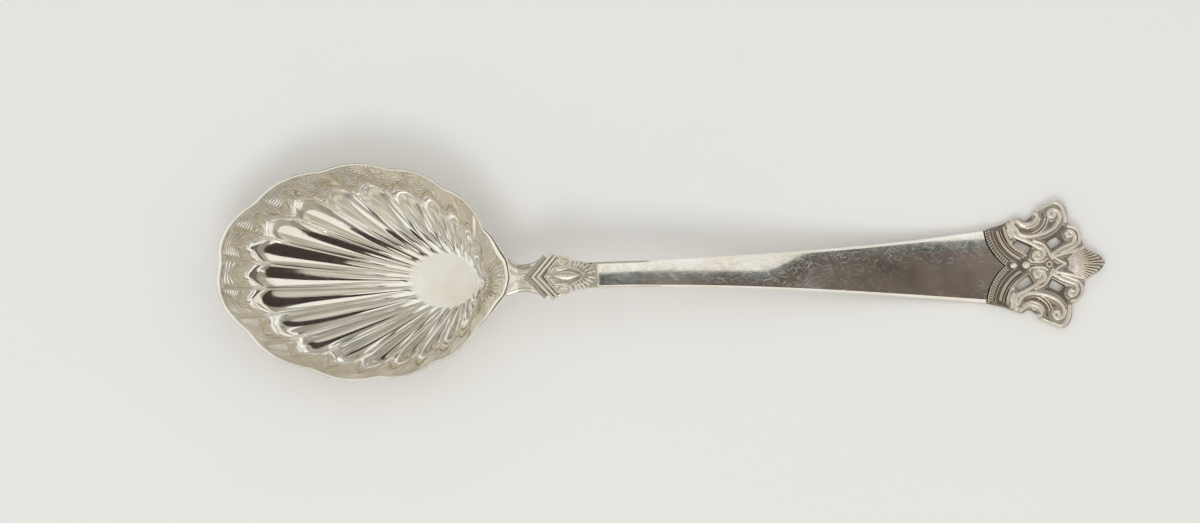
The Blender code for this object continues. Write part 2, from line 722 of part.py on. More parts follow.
def finial_xy(point):
    """Place on the spoon of a point of the finial's drawing."""
    return (FINIAL_START + point[0] * FINIAL_LENGTH, point[1] * FINIAL_WIDTH / 2)


def band_point(radius, share):
    """Point of a band across the finial's root, from the flank at share 0 to the axis at share 1."""
    spread = FINIAL_WIDTH / 2 / FINIAL_LENGTH
    flank = math.asin(min((BAND_CENTRE[1] - FINIAL_ROOT_SHARE) * spread / radius, 1.0))
    axis = math.asin(min(BAND_CENTRE[1] * spread / radius, 1.0))
    angle = math.pi + flank + (axis - flank) * share
    return (BAND_CENTRE[0] + radius * math.cos(angle), BAND_CENTRE[1] + radius * math.sin(angle) / spread)


def band(radius, first, last, steps):
    """Stretch of a band as places on the spoon."""
    shares = [first + (last - first) * step / steps for step in range(steps + 1)]
    return [finial_xy(band_point(radius, share)) for share in shares]


def blade_half_width(x):
    """Half of the blade's width: it opens ever faster towards the finial."""
    root = BLADE_ROOT_WIDTH / 2
    end = FINIAL_ROOT_SHARE * FINIAL_WIDTH / 2
    return root + (end - root) * (max(x - STEM_LENGTH, 0.0) / BLADE_LENGTH) ** 2


def blade_thickness(x):
    """The blade thins from the shoulder to the finial."""
    left = min(max(1.0 - (x - STEM_LENGTH) / BLADE_LENGTH, 0.0), 1.0)
    return BLADE_END_THICKNESS + (BLADE_ROOT_THICKNESS - BLADE_END_THICKNESS) * left ** 2


def build_blade(finish, parent):
    """Plain blade with bevelled edges, ending in a tongue between the two bands."""
    tongue = band(TONGUE_RADIUS, 0.0, 1.0, TONGUE_STEPS)
    across = [y / tongue[0][1] for _, y in tongue]
    ends = [x for x, _ in tongue]
    shares = across[:-1] + [0.0] + [-y for y in across[:-1]][::-1]
    limits = ends + ends[:-1][::-1]
    rings = []
    for row in range(BLADE_ROWS + 1):
        t = row / BLADE_ROWS
        top_row = []
        bottom_row = []
        for share, limit in zip(shares, limits):
            x = STEM_LENGTH + SOLDER_GAP + (limit - SOLDER_GAP - STEM_LENGTH - SOLDER_GAP) * t
            y = share * blade_half_width(min(x, FINIAL_START))
            top_row.append((x, y, handle_top(x)))
            bottom_row.append((x, y, handle_top(x) - blade_thickness(x)))
        rim = [(x, y, z - BLADE_BEVEL) for x, y, z in (top_row[0], top_row[-1])]
        top_row[0] = (top_row[0][0], top_row[0][1] - BLADE_BEVEL, top_row[0][2])
        top_row[-1] = (top_row[-1][0], top_row[-1][1] + BLADE_BEVEL, top_row[-1][2])
        rings.append([rim[0]] + top_row + [rim[1]] + bottom_row[::-1])
    vertices, faces = skin_rings(rings, cap_last=False)
    first = BLADE_ROWS * len(rings[0])
    last = first + len(rings[0]) - 1
    top_places = range(first + 1, first + 1 + len(shares))
    bottom_places = range(last, last - len(shares), -1)
    for column in range(len(shares) - 1):
        faces.append((top_places[column], top_places[column + 1],
                      bottom_places[column + 1], bottom_places[column]))
    faces.append((first, top_places[0], bottom_places[0]))
    faces.append((first + 1 + len(shares), bottom_places[-1], top_places[-1]))
    return add_piece("handle_blade", vertices, faces, finish, parent)


def finial_loops():
    """Outline of the openwork with its four piercings, as places on the spoon."""
    root = band(TONGUE_RADIUS, 1.0, 0.0, TONGUE_STEPS)
    flank = spline([band_point(TONGUE_RADIUS, 0.0)] + FINIAL_FLANK, 2)
    half = flank[1:-1] + spline(FINIAL_NOTCH, 3)[:-1] + spline(FINIAL_PEAK, 3)[:-1]
    half = half + spline(FINIAL_SIDE_LOBE, 3)[:-1] + spline(FINIAL_TIP_LEAF, 3)
    half = root + [finial_xy(point) for point in half]
    outline = mirrored(half) + half[::-1][1:-1]
    holes = []
    for piercing in (PIERCING_NEAR, PIERCING_FAR):
        hole = [finial_xy(point) for point in piercing]
        holes += [hole[::-1], mirrored(hole)]
    return [outline] + holes


def finial_ridges():
    """Scrolls, volutes and palmette ribs of the openwork."""
    unit = FINIAL_LENGTH
    ridges = []
    for side in (1.0, -1.0):

        def place(points):
            return [finial_xy((x, side * y)) for x, y in points]

        def ring(centre, radius, start=0.0, end=math.tau):
            x, y = place([centre])[0]
            return arc((x, y), radius * unit, side * start, side * end, RING_STEPS)

        ridges.append((place(spline(SCROLL_STEM, 3)), SCROLL_WIDTH / 2, STEM_RISE))
        ridges.append((ring(EYE_CENTRE, EYE_RADIUS), RING_WIDTH / 2, STEM_RISE))
        for radius in C_SCROLL_RADII:
            ridges.append((ring(C_SCROLL_CENTRE, radius, *C_SCROLL_SWEEP), RING_WIDTH / 2, RING_RISE))
        ridges.append((ring(PEAK_VOLUTE, PEAK_VOLUTE_RADIUS), SCROLL_WIDTH / 2, 1.0))
        ridges.append((ring(SIDE_VOLUTE, SIDE_VOLUTE_RADIUS), SCROLL_WIDTH / 2, 1.0))
        ridges.append((place(spline(SIDE_STEM, 3)), RING_WIDTH / 2, STEM_RISE))
        x, y = finial_xy((PALMETTE_ROOT, 0.0))
        for rib in range(PALMETTE_RIBS + 1):
            angle = PALMETTE_FAN * rib / PALMETTE_RIBS
            length = PALMETTE_LENGTH - PALMETTE_SHORTENS * (rib / PALMETTE_RIBS) ** PALMETTE_SHORTENING_POWER
            along = unit * math.cos(angle)
            across = side * unit * math.sin(angle)
            start = (x + PALMETTE_INSIDE * along, y + PALMETTE_INSIDE * across)
            end = (x + length * along, y + length * across)
            ridges.append(([start, end], PALMETTE_RIB_WIDTH / 2, RING_RISE))
        ridges.append((place(PALMETTE_LEAF), SCROLL_WIDTH / 2, 1.0))
    eyelet = arc(finial_xy((EYELET_AT, 0.0)), EYELET_RADIUS * unit, 0.0, math.tau, RING_STEPS)
    ridges.append((eyelet, EYELET_WIDTH / 2, EYELET_RISE))
    return ridges


def build_finial(finish, parent):
    """Pierced scrollwork casting."""
    loops = finial_loops()
    ridges = finial_ridges()

    def bottom(points):
        return [0.0 for _ in points]

    def top(points):
        edge = np.min([loop_distance(points, loop) for loop in loops], axis=0)
        drop = FINIAL_EDGE_DROP * np.clip(1.0 - edge / FINIAL_EDGE_DROP, 0.0, 1.0)
        return FINIAL_PLATE + FINIAL_RELIEF * ridge_relief(points, ridges) - drop

    return relief_plate("finial_openwork", loops, FINIAL_SPACING, bottom, top, finish, parent)


def build_bands(finish, parent):
    """Rope wires and reeds across the finial's root, in mirrored pairs."""

    def floor(_x, _y):
        return FINIAL_PLATE

    rope = band(ROPE_RADIUS, *ROPE_SPAN, BAND_STEPS)
    reed = band(REED_RADIUS, *REED_SPAN, BAND_STEPS)
    by_piercing = [finial_xy(point) for point in spline(REED_BY_PIERCING, 2)]
    wires = [("rope_wire", rope, ROPE_WIDTH, ROPE_HEIGHT),
             ("reed_first", reed, REED_WIDTH, REED_HEIGHT),
             ("reed_second", by_piercing, REED_WIDTH, REED_HEIGHT)]
    for name, path, width, height in wires:
        sweep_half_round(name + "_upper", path, width, height, floor, finish, parent)
        sweep_half_round(name + "_lower", mirrored(path)[::-1], width, height, floor, finish, parent)


def build_bead(name, share, size, finish, parent):
    """Domed grain on the axis of the finial."""
    x, y = finial_xy((share, 0.0))
    length, width, height = size
    turns = [math.tau * step / BEAD_SIDES for step in range(BEAD_SIDES)]
    rings = []
    for level in range(BEAD_LEVELS):
        tilt = BEAD_TOP_TILT * level / (BEAD_LEVELS - 1)
        scale = math.cos(tilt) / 2
        z = FINIAL_PLATE + SOLDER_GAP + height * math.sin(tilt) / math.sin(BEAD_TOP_TILT)
        rings.append([(x + length * scale * math.cos(a), y + width * scale * math.sin(a), z) for a in turns])
    vertices, faces = skin_rings(rings)
    return add_piece(name, vertices, faces, finish, parent)


def centre_on_table(pieces, root):
    """Move the whole spoon so that its bounds are centred over the origin."""
    bpy.context.view_layer.update()
    corners = [piece.matrix_world @ vertex.co for piece in pieces for vertex in piece.data.vertices]
    xs = [corner.x for corner in corners]
    ys = [corner.y for corner in corners]
    root.location = (-(min(xs) + max(xs)) / 2, -(min(ys) + max(ys)) / 2, 0.0)


def build_spoon():
    """All the pieces, on one root."""
    for item in list(bpy.data.objects):
        bpy.data.objects.remove(item)
    root = bpy.data.objects.new("spoon", None)
    bpy.context.collection.objects.link(root)
    build_bowl(POLISHED, root)
    build_stem(POLISHED, root)
    build_collar(WORKED, root)
    build_leaf(WORKED, root)
    build_blade(POLISHED, root)
    build_finial(WORKED, root)
    build_bands(WORKED, root)
    build_bead("bead_small", BEAD_SMALL_AT, BEAD_SMALL, WORKED, root)
    build_bead("bead_large", BEAD_LARGE_AT, BEAD_LARGE, WORKED, root)
    pieces = [item for item in bpy.data.objects if item.type == "MESH"]
    centre_on_table(pieces, root)


build_spoon()
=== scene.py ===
"""Looks of the jam spoon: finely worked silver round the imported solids, on a pale table in soft light.

Lengths are in metres. The spoon's own frame has x = 0 where bowl and neck meet, and y = 0 on the handle's
axis. Drawings of ornament are in millimetres and are marked so.
"""

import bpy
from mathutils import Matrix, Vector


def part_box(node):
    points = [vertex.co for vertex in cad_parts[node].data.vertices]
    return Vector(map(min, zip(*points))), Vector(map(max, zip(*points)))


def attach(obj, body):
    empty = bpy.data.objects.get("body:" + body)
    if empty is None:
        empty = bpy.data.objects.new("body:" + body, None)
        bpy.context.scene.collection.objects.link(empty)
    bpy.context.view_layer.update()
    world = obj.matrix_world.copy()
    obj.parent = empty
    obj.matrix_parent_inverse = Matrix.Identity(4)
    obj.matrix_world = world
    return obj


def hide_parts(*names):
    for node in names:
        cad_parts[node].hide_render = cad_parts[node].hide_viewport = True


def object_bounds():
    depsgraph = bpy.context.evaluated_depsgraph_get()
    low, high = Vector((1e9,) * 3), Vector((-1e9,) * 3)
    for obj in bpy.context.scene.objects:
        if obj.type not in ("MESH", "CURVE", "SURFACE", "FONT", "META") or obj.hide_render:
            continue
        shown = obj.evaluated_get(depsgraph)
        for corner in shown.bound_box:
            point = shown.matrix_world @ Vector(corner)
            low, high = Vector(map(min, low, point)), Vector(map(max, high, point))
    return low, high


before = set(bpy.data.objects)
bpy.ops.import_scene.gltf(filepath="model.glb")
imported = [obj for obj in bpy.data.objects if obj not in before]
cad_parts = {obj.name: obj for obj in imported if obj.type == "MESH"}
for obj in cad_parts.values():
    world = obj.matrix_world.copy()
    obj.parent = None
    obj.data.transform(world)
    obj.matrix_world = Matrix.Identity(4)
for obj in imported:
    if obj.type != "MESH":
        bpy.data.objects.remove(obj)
cad_box = [list(corner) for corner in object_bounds()]

import math

import bmesh
import bpy
import numpy as np
from mathutils import Matrix, Vector
from mathutils.geometry import delaunay_2d_cdt

MM = 0.001
TINY = 1e-9

# Joints
SOLDER_GAP = 0.00006

# Form of the bowl
BOWL_LENGTH = 0.0488
BOWL_WIDTH = 0.0365
BOWL_DEPTH = 0.009
BOWL_WALL = 0.0009
BOWL_POINT = 0.0013
BOWL_SET = math.radians(4.6)
RIM_LAND = 0.0006
RIM_FULLNESS = 0.04
RIM_STRAIGHT_FROM = math.radians(150)
FLUTES = 24
FLUTE_SPREAD = math.radians(9.2)
FLUTE_SPREAD_FORE = math.radians(4.4)
SCALLOP_DEPTH = 0.00085
BAND_AT_TIP = 0.0043
BAND_AT_NECK = 0.0032
FLOOR_RISE = 0.0036
BOSS_LENGTH = 0.0101
BOSS_WIDTH = 0.0087
BOSS_FROM_NECK = 0.0105
BOSS_DISH = 0.00002
RIM_HEIGHT = BOWL_DEPTH + BOWL_WALL
HALF_TURN_FLUTES = FLUTES // 2
ABOVE_BOWL = np.array((-BOWL_LENGTH / 2, 0.0, 3 * BOWL_DEPTH))

# Fine work of the bowl, in metres
RIM_ROUND = 0.00012
RIM_LAND_GAIN = 0.0007
NECK_ROUND = 0.00055
WALL_BLEND = 0.001
RIB_WIDTH = 0.00075
RIB_GROOVE = 0.00003
BAND_RIB = 0.0002
BAND_RELIEF = 0.00011
HEEL_RELIEF = 0.0002

# Fine work of the bowl, as shares of the way from boss to rim
BAND_START_LEAST = 0.2
SCALLOP_FROM = 0.5
WALL_THINS_FROM = 0.6
SCOOP_START_RUN = 0.1
SCOOP_END_LAP = 0.06
SCOOP_END_RUN = 0.075
SCOOP_END_ROUND = 0.07
RIB_START_RUN = 0.4
GOUGE_RUN = 0.08
GOUGE_WALL = 0.02
BAND_EDGE_RUN = 0.03
RIM_CLEAR = 0.02
HEEL_CLEAR = 0.06
BOSS_MATT_RUN = 0.08
BACK_START = 0.985
BACK_START_RUN = 0.1
BACK_END_LAP = 0.1
BACK_END_RUN = 0.25

# Fine work of the bowl, in flutes round it; a shift has a size, a first flute and a run
RIM_LAND_WIDEST = 11.2
RIM_LAND_RUN = 0.7
RIM_SHIFT = (0.45, -1.0, 8.0)
BOSS_SHIFT = (1.1, 0.0, 8.0)
FOOT_WAVE_FADE = 3.0
SCOOP_SWAY_FLUTES = 3.0
HEEL_FLUTES = 0.6

# Fine work of the bowl: shares of a flute's width, depths of waves, powers and tones
NOTCH_SOFTNESS = 0.02
FLOOR_CURVE = 1.6
FOOT_WAVE = 0.22
FOOT_WAVE_AT_TIP = 0.6
FOOT_LEAN = 1.2
BACK_FOOT_WAVE = 0.13
BACK_FLUTE_DEPTH = 0.0665
SCOOP_SINK = 0.028
SCOOP_DOME = 0.038
SCOOP_END_POWER = 2
SCOOP_END_SWAY = 0.3
SCOOP_END_SOFT = 0.5
RIB_WIDTH_SHARE = 0.4
RIB_GROOVE_WIDTH = 0.3
GOUGE_DEPTH = 0.04
GOUGE_WIDTH = 0.5
GOUGE_PLACE = -0.2
BAND_CLEAR = 0.1
BAND_TONE = 0.5

# Chased waves in the bowl's band, in millimetres
BAND_CELL = (4.4, 4.2)
WAVE_PITCH = 0.64
WAVE_CENTRE = (-0.5, -0.4)
WAVE_STRETCH = 1.5
WAVE_SWAY = 0.4
WAVE_SWAY_TURN = (1.1, 0.6)

# Palmette in the bowl's heel, in millimetres and degrees
HEEL_ROOT = np.array((-5.4, 0.0))
HEEL_TONGUES = np.arange(-3, 4)
HEEL_TONGUE_TURN = 20
HEEL_TONGUE_START = 2.4
HEEL_TONGUE_END = 5.2
HEEL_TONGUE_FALL = 0.12
HEEL_TONGUE_HALF = 0.62
HEEL_TONGUE_FOOT = 0.3
HEEL_TONGUE_POINT = 0.25
HEEL_VEIN_INSET = 0.5
HEEL_TONGUE_RIDGE = (0.2, 1.0)
HEEL_VEIN_RIDGE = (0.22, 0.8)
HEEL_BEADS = range(-4, 5)
HEEL_BEAD_TURN = 14
HEEL_BEAD_RADII = np.array((1.75, 2.2))
HEEL_BEAD_RIDGE = (0.26, 1.1)

# Mesh of the bowl
FLUTE_COLUMNS = 46
SCOOP_COLUMNS = 0.7
SCOOP_ROWS = 110
BAND_ROWS = 64
BOSS_ROWS = 12
BACK_ROWS = 48
RIM_STEPS = 9

# Stem and shoulder
STEM_LENGTH = 0.012
NECK_ROOT_WIDTH = 0.0065
NECK_FLARE_WIDTH = 0.0053
NECK_WAIST_WIDTH = 0.00455
COLLAR_SEAT_WIDTH = 0.00505
PAD_WIDTH = 0.0067
SHOULDER_WIDTH = 0.0072
PAD_END_WIDTH = 0.0051
NECK_ROOT_THICKNESS = 0.0034
STEM_THICKNESS = 0.0025
NECK_BEND_LENGTH = 0.003
NECK_LENGTH = 0.0036
NECK_SLOPE = 0.2
HEEL_WIDTH = 0.003
STEM_EDGE_FALL = 0.00035
STEM_EDGE_POWER = 6
STEM_FLANK = 0.0009
STEM_SIDE_POWER = 0.5
STEM_UNDER_POWER = 0.6
NECK_RELIEF = 0.00014
FAN_START = 0.0014
FAN_END = 0.0044
FAN_FADE = 0.0006
FAN_TONE = 0.7
STEM_ROWS = 160
STEM_COLUMNS = 81
STEM_UNDER_COLUMNS = 13
HEEL_REACH = 0.008
HEEL_NEAREST = 4
HEEL_LEAST_GAP = 1e-12

# Collar and leaf
COLLAR_BEAD_WIDTH = 0.00072
COLLAR_RAIL_WIDTH = 0.00062
COLLAR_HEIGHT = 0.0006
COLLAR_VERTEX = 0.0033
COLLAR_REACH = 0.0032
COLLAR_SPANS = (0.0069, 0.0077, 0.007)
COLLAR_END_ROUND = 0.0004
COLLAR_STEPS = 40
COLLAR_STRIP_HEIGHT = 0.45
COLLAR_STRIP_GROOVE = 1.6
COLLAR_BEADS = 11
COLLAR_BEAD_FIRST = 0.6
COLLAR_BEAD_SIZE = 0.00036
COLLAR_BEAD_HEIGHT = 0.75
COLLAR_BEAD_MESH = (12, 6)
LEAF_PLATE = 0.00035
LEAF_RELIEF = 0.0005
LEAF_EDGE = 0.0003

# Blade and finial
BLADE_LENGTH = 0.06875
BLADE_ROOT_WIDTH = 0.00435
BLADE_ROOT_THICKNESS = 0.0023
BLADE_END_THICKNESS = 0.0017
BLADE_BEVEL = 0.00035
BEVEL_OUT = 0.3
BEVEL_DROP = 0.16
BLADE_CROWN = 0.18
BLADE_ROLL = math.radians(3.8)
BLADE_ROLL_FROM = 0.042
BLADE_ROLL_RUN = 0.012
BLADE_ROWS = 141
BLADE_SHARP = math.radians(25)
PIECE_SHARP = math.radians(50)
FINIAL_LENGTH = 0.02005
FINIAL_WIDTH = 0.0216
FINIAL_PLATE = 0.00115
FINIAL_RELIEF = 0.0006
FINIAL_EDGE = 0.00022
FINIAL_EDGE_FALL = 0.0002
FINIAL_ROOT = 0.574 * FINIAL_WIDTH / 2
FINIAL_START = STEM_LENGTH + BLADE_LENGTH
TONGUE_STEPS = 24
PLATE_SPACING = 0.00009
PLATE_EDGE_CLEAR = 0.4

# Wires and beads on the finial
ROPE_WIDTH = 0.00088
ROPE_HEIGHT = 0.0006
ROPE_SPAN = (0.0, 0.93)
ROPE_STEPS = 140
ROPE_COLUMNS = 21
ROPE_BORDER = (0.28, 0.42)
ROPE_BORDER_RUN = (0.07, 0.08)
ROPE_BORDER_FALL = 0.7
TICK_PITCH = 0.00044
TICK_SLANT = 0.4
TICK_LOWEST = 0.3
REED_WIDTH = 0.00055
REED_HEIGHT = 0.00045
REED_SPAN = (0.03, 0.7)
REED_STEPS = 40
BEAD_MESH = (48, 16)
BEADS = {"bead_small": (0.226, 0.0015, 0.00115, 0.0005), "bead_large": (0.33, 0.0016, 0.0015, 0.0006)}

# Sections of wires and feet of castings
CAST_FOOT_WIDTH = 1.8
CAST_FOOT_HEIGHT = 0.3
MITRE_LEAST = 0.5
WIRE_FLANK = 0.3
WIRE_END_LEAST = 0.05
WIRE_END_WIDTH = 0.6
DOME_TOP = math.radians(89.5)

# How relief is rubbed bright: gain with the height, and the dark that is left at its foot
LEAF_RUB = (1.0, -0.3)
COLLAR_RUB = (1.5, 0.3)
FINIAL_RUB = (1.25, 0.0)
WIRE_RUB = (1.3, 0.25)
BEAD_RUB = (1.4, 0.0)

blade_low, blade_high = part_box("handle_blade")
ORIGIN = Vector((blade_low.x - STEM_LENGTH - SOLDER_GAP, (blade_low.y + blade_high.y) / 2, 0.0))


# Curves and relief


def smooth_step(value):
    """Ease from 0 to 1."""
    value = np.clip(value, 0.0, 1.0)
    return value * value * (3.0 - 2.0 * value)


def unit(degrees):
    """Plan direction of an angle."""
    return np.array((math.cos(math.radians(degrees)), math.sin(math.radians(degrees))))


def curve(points, steps=8):
    """Smooth plan curve through the points."""
    points = np.array(points, float)
    ends = np.vstack((2 * points[0] - points[1], points, 2 * points[-1] - points[-2]))
    t = (np.arange(steps) / steps)[:, None]
    pieces = []
    for before, start, end, after in zip(ends, ends[1:], ends[2:], ends[3:]):
        pieces.append(0.5 * (2 * start + (end - before) * t
                             + (2 * before - 5 * start + 4 * end - after) * t ** 2
                             + (3 * start - before - 3 * end + after) * t ** 3))
    pieces.append(points[-1:])
    return np.vstack(pieces)


def arc(centre, radius, start, end, steps=24):
    """Plan arc between two angles in degrees."""
    angles = np.radians(np.linspace(start, end, steps + 1))
    return np.array(centre) + radius * np.stack((np.cos(angles), np.sin(angles)), axis=1)


def mirrored(points):
    """The same points on the other side of the axis."""
    return np.array(points, float) * np.array((1.0, -1.0))


def both_sides(ridges):
    """Ridges together with their mirror images."""
    return ridges + [(mirrored(path), width, height) for path, width, height in ridges]


def drawn(lines):
    """Ridges along smooth lines, each given as points, half width and height."""
    return [(curve(points), width, height) for points, width, height in lines]


def rays(root, turns, starts, ends, width, height):
    """Straight ridges that fan out from a root, each with its angle in degrees, start and end."""
    fan = np.broadcast(turns, starts, ends)
    return [(np.array(root) + np.outer((start, end), unit(turn)), width, height) for turn, start, end in fan]


def path_lengths(path):
    """Length along a path at each of its points."""
    return np.append(0.0, np.cumsum(np.linalg.norm(np.diff(path, axis=0), axis=1)))


def path_distance(points, path):
    """Distance of each plan point from a polyline."""
    nearest = np.full(len(points), np.inf)
    for start, end in zip(path[:-1], path[1:]):
        way = end - start
        share = np.clip(((points - start) @ way) / max(way @ way, TINY ** 2), 0.0, 1.0)
        gap = points - start - share[:, None] * way
        nearest = np.minimum(nearest, np.einsum("ij,ij->i", gap, gap))
    return np.sqrt(nearest)


def ridge_relief(points, ridges):
    """Height over each plan point of round-topped ridges, each given as path, half width and height."""
    heights = np.zeros(len(points))
    for path, half_width, height in ridges:
        low = path.min(axis=0) - half_width
        high = path.max(axis=0) + half_width
        near = np.flatnonzero(np.all((points > low) & (points < high), axis=1))
        gap = path_distance(points[near], path)
        swell = np.sqrt(np.maximum(1.0 - (gap / half_width) ** 2, 0.0))
        heights[near] = np.maximum(heights[near], height * swell)
    return heights


def cast_relief(points, ridges):
    """Ridges with softly filled feet, as in a casting."""
    feet = [(path, CAST_FOOT_WIDTH * width, CAST_FOOT_HEIGHT * height) for path, width, height in ridges]
    return np.maximum(ridge_relief(points, ridges), ridge_relief(points, feet))


def lens_relief(points, lenses):
    """Height over each plan point of pointed oval pads, each given as start, end, half width and height."""
    heights = np.zeros(len(points))
    for start, end, half_width, height in lenses:
        way = np.array(end, float) - start
        length = np.linalg.norm(way)
        offset = (points - start) / length
        share = offset @ way / length
        across = offset @ np.array((-way[1], way[0]))
        wide = half_width * 4.0 * share * (1.0 - share)
        inside = wide > np.abs(across)
        swell = np.sqrt(1.0 - (across[inside] / wide[inside]) ** 2)
        heights[inside] = np.maximum(heights[inside], height * swell)
    return heights


def edge_fall(distance, depth, reach):
    """How far a rounded edge lies below its face."""
    return depth * np.clip(1.0 - distance / reach, 0.0, 1.0) ** 2


def rubbed(height, gain, dark):
    """How bright metal is rubbed at a height, given as a share of the relief's own."""
    return np.clip(gain * height - dark, 0.0, 1.0)


def inside_loop(points, loop):
    """Which plan points lie inside a closed loop."""
    x, y = points[:, 0], points[:, 1]
    inside = np.zeros(len(points), dtype=bool)
    for (x0, y0), (x1, y1) in zip(loop, np.roll(loop, -1, axis=0)):
        if y0 == y1:
            continue
        crosses = (y0 > y) != (y1 > y)
        inside ^= crosses & (x < x0 + (y - y0) * (x1 - x0) / (y1 - y0))
    return inside


def between_loops(points, loops):
    """Which plan points lie inside the first loop and outside the others."""
    keep = inside_loop(points, loops[0])
    for loop in loops[1:]:
        keep &= ~inside_loop(points, loop)
    return keep


def loops_distance(points, loops):
    """Distance of each plan point from the nearest of some closed loops."""
    return np.min([path_distance(points, np.vstack((loop, loop[:1]))) for loop in loops], axis=0)


def loop_edges(loops):
    """Pairs of neighbouring points of closed loops that are numbered through."""
    edges = []
    first = 0
    for loop in loops:
        count = len(loop)
        edges += [(first + index, first + (index + 1) % count) for index in range(count)]
        first += count
    return edges


def triangulate(points, loops):
    """Triangles over the area between the first loop and the others, which are holes in it."""
    result = delaunay_2d_cdt([Vector(point) for point in points], loop_edges(loops), [], 0, TINY)
    plan = np.array([tuple(vertex) for vertex in result[0]])
    triangles = np.array(result[2])
    return plan, triangles[between_loops(plan[triangles].mean(axis=1), loops)]


# Meshes


def add_attribute(mesh, name, values):
    """One number for each point of a mesh, for its finish to read."""
    attribute = mesh.attributes.new(name, "FLOAT", "POINT")
    attribute.data.foreach_set("value", np.asarray(values, np.float32))


def add_piece(name, vertices, faces, material, node, worn=None, sharp_angle=PIECE_SHARP):
    """Smooth silver piece in the place of a node of the solids. Worn says how bright each point is rubbed."""
    mesh = bpy.data.meshes.new(name)
    mesh.from_pydata(np.asarray(vertices, float).tolist(), [], [list(map(int, face)) for face in faces])
    shell = bmesh.new()
    shell.from_mesh(mesh)
    bmesh.ops.recalc_face_normals(shell, faces=shell.faces)
    shell.to_mesh(mesh)
    shell.free()
    mesh.shade_smooth()
    mesh.set_sharp_from_angle(angle=sharp_angle)
    add_attribute(mesh, "worn", np.ones(len(mesh.vertices)) if worn is None else worn)
    mesh.materials.append(material)
    piece = bpy.data.objects.new(name, mesh)
    bpy.context.scene.collection.objects.link(piece)
    piece.location = ORIGIN
    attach(piece, "root")
    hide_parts(node)
    return piece


def ring_faces(rows, columns):
    """Quads between neighbouring closed rows of a grid of points."""
    row, column = np.meshgrid(np.arange(rows - 1) * columns, np.arange(columns), indexing="ij")
    following = (column + 1) % columns
    above = row + columns
    quads = np.stack((row + column, row + following, above + following, above + column), axis=-1)
    return quads.reshape(-1, 4).tolist()


def skin(rings):
    """Closed skin over a row of equal rings, with a fan of triangles on either end."""
    rings = np.asarray(rings, float)
    rows, columns = rings.shape[:2]
    vertices = np.vstack((rings.reshape(-1, 3), rings[0].mean(axis=0), rings[-1].mean(axis=0)))
    faces = ring_faces(rows, columns)
    last = (rows - 1) * columns
    for column in range(columns):
        following = (column + 1) % columns
        faces.append((rows * columns, following, column))
        faces.append((rows * columns + 1, last + column, last + following))
    return vertices, faces


def relief_plate(loops, bottom, top):
    """Plate with the given outline and holes, a plain back and a modelled face."""
    low, high = loops[0].min(axis=0), loops[0].max(axis=0)
    grid = []
    rows = np.arange(low[1] + PLATE_SPACING / 2, high[1], PLATE_SPACING * math.sqrt(3) / 2)
    for index, y in enumerate(rows):
        across = np.arange(low[0] + (index % 2) * PLATE_SPACING / 2, high[0], PLATE_SPACING)
        grid.append(np.stack((across, np.full(len(across), y)), axis=1))
    grid = np.vstack(grid)
    keep = between_loops(grid, loops) & (loops_distance(grid, loops) > PLATE_EDGE_CLEAR * PLATE_SPACING)
    boundary = np.vstack(loops)
    plan, triangles = triangulate(np.vstack((boundary, grid[keep])), loops)
    _, back = triangulate(boundary, loops)
    base = len(plan)
    heights, worn = top(plan)
    vertices = np.column_stack((plan, heights))
    vertices = np.vstack((vertices, np.column_stack((boundary, bottom(boundary[:, 0])))))
    faces = triangles.tolist() + (back[:, ::-1] + base).tolist()
    faces += [(here, base + here, base + following, following) for here, following in loop_edges(loops)]
    return vertices, faces, np.concatenate((worn, np.ones(len(boundary))))


# Side view of the handle


def handle_top(x):
    """Height of the upper face of stem, blade and finial border above the table."""
    t = np.clip(np.asarray(x, float) / FINIAL_START, 0.0, 1.0)
    start = 2 * t ** 3 - 3 * t ** 2 + 1
    rise = t ** 3 - 2 * t ** 2 + t
    end = 3 * t ** 2 - 2 * t ** 3
    return start * RIM_HEIGHT + rise * FINIAL_START * NECK_SLOPE + end * BLADE_END_THICKNESS


def handle_seat(x):
    """Height at which a piece sits on the handle."""
    return handle_top(x) + SOLDER_GAP


def finial_seat(x):
    """Height at which a piece sits on the finial's plate."""
    return np.full(len(x), FINIAL_PLATE + SOLDER_GAP)


def neck_turn(x):
    """Angle of the stem's axis in plan: the bowl's own angle at the joint, none past the bend."""
    return -BOWL_SET * (1.0 - smooth_step(x / NECK_BEND_LENGTH))


def neck_share(x):
    """How much of the heel is left: all of it at the joint, none past the neck."""
    return 1.0 - smooth_step(x / NECK_LENGTH)


def neck_offset(x, steps=12):
    """Sideways place of the stem's axis, from the bend back to the joint."""
    left = max(NECK_BEND_LENGTH - x, 0.0)
    turns = neck_turn(x + left * (np.arange(steps) + 0.5) / steps)
    return -np.tan(turns).sum() * left / steps


# Bowl


def flute_angle(flute):
    """Angle round the rim's ellipse of a flute, counted from the tip towards the neck."""
    share = np.abs(flute) / HALF_TURN_FLUTES
    angle = math.pi * share + FLUTE_SPREAD * np.sin(math.pi * share)
    angle = angle + FLUTE_SPREAD_FORE * np.sin(2 * math.pi * share)
    return np.copysign(angle, flute)


def flute_lean(flute):
    """Which way a scoop leans: none at the tip, fully to its own side a few flutes away."""
    return np.clip(flute / SCOOP_SWAY_FLUTES, -1.0, 1.0)


def across_flute(flute):
    """Place across a flute: 0 in its middle, 1 or -1 on the middle of a rib."""
    return 2.0 * (flute - np.round(flute))


def shifted(flute, shift, start, run):
    """Place of a flute, moved towards the tip over a run of flutes on the upper side."""
    return flute - shift * np.sin(math.pi * np.clip((flute - start) / run, 0.0, 1.0))


def rim_place(flute):
    """Place of a flute's outer end round the rim, in even flutes from the tip."""
    return shifted(flute, *RIM_SHIFT)


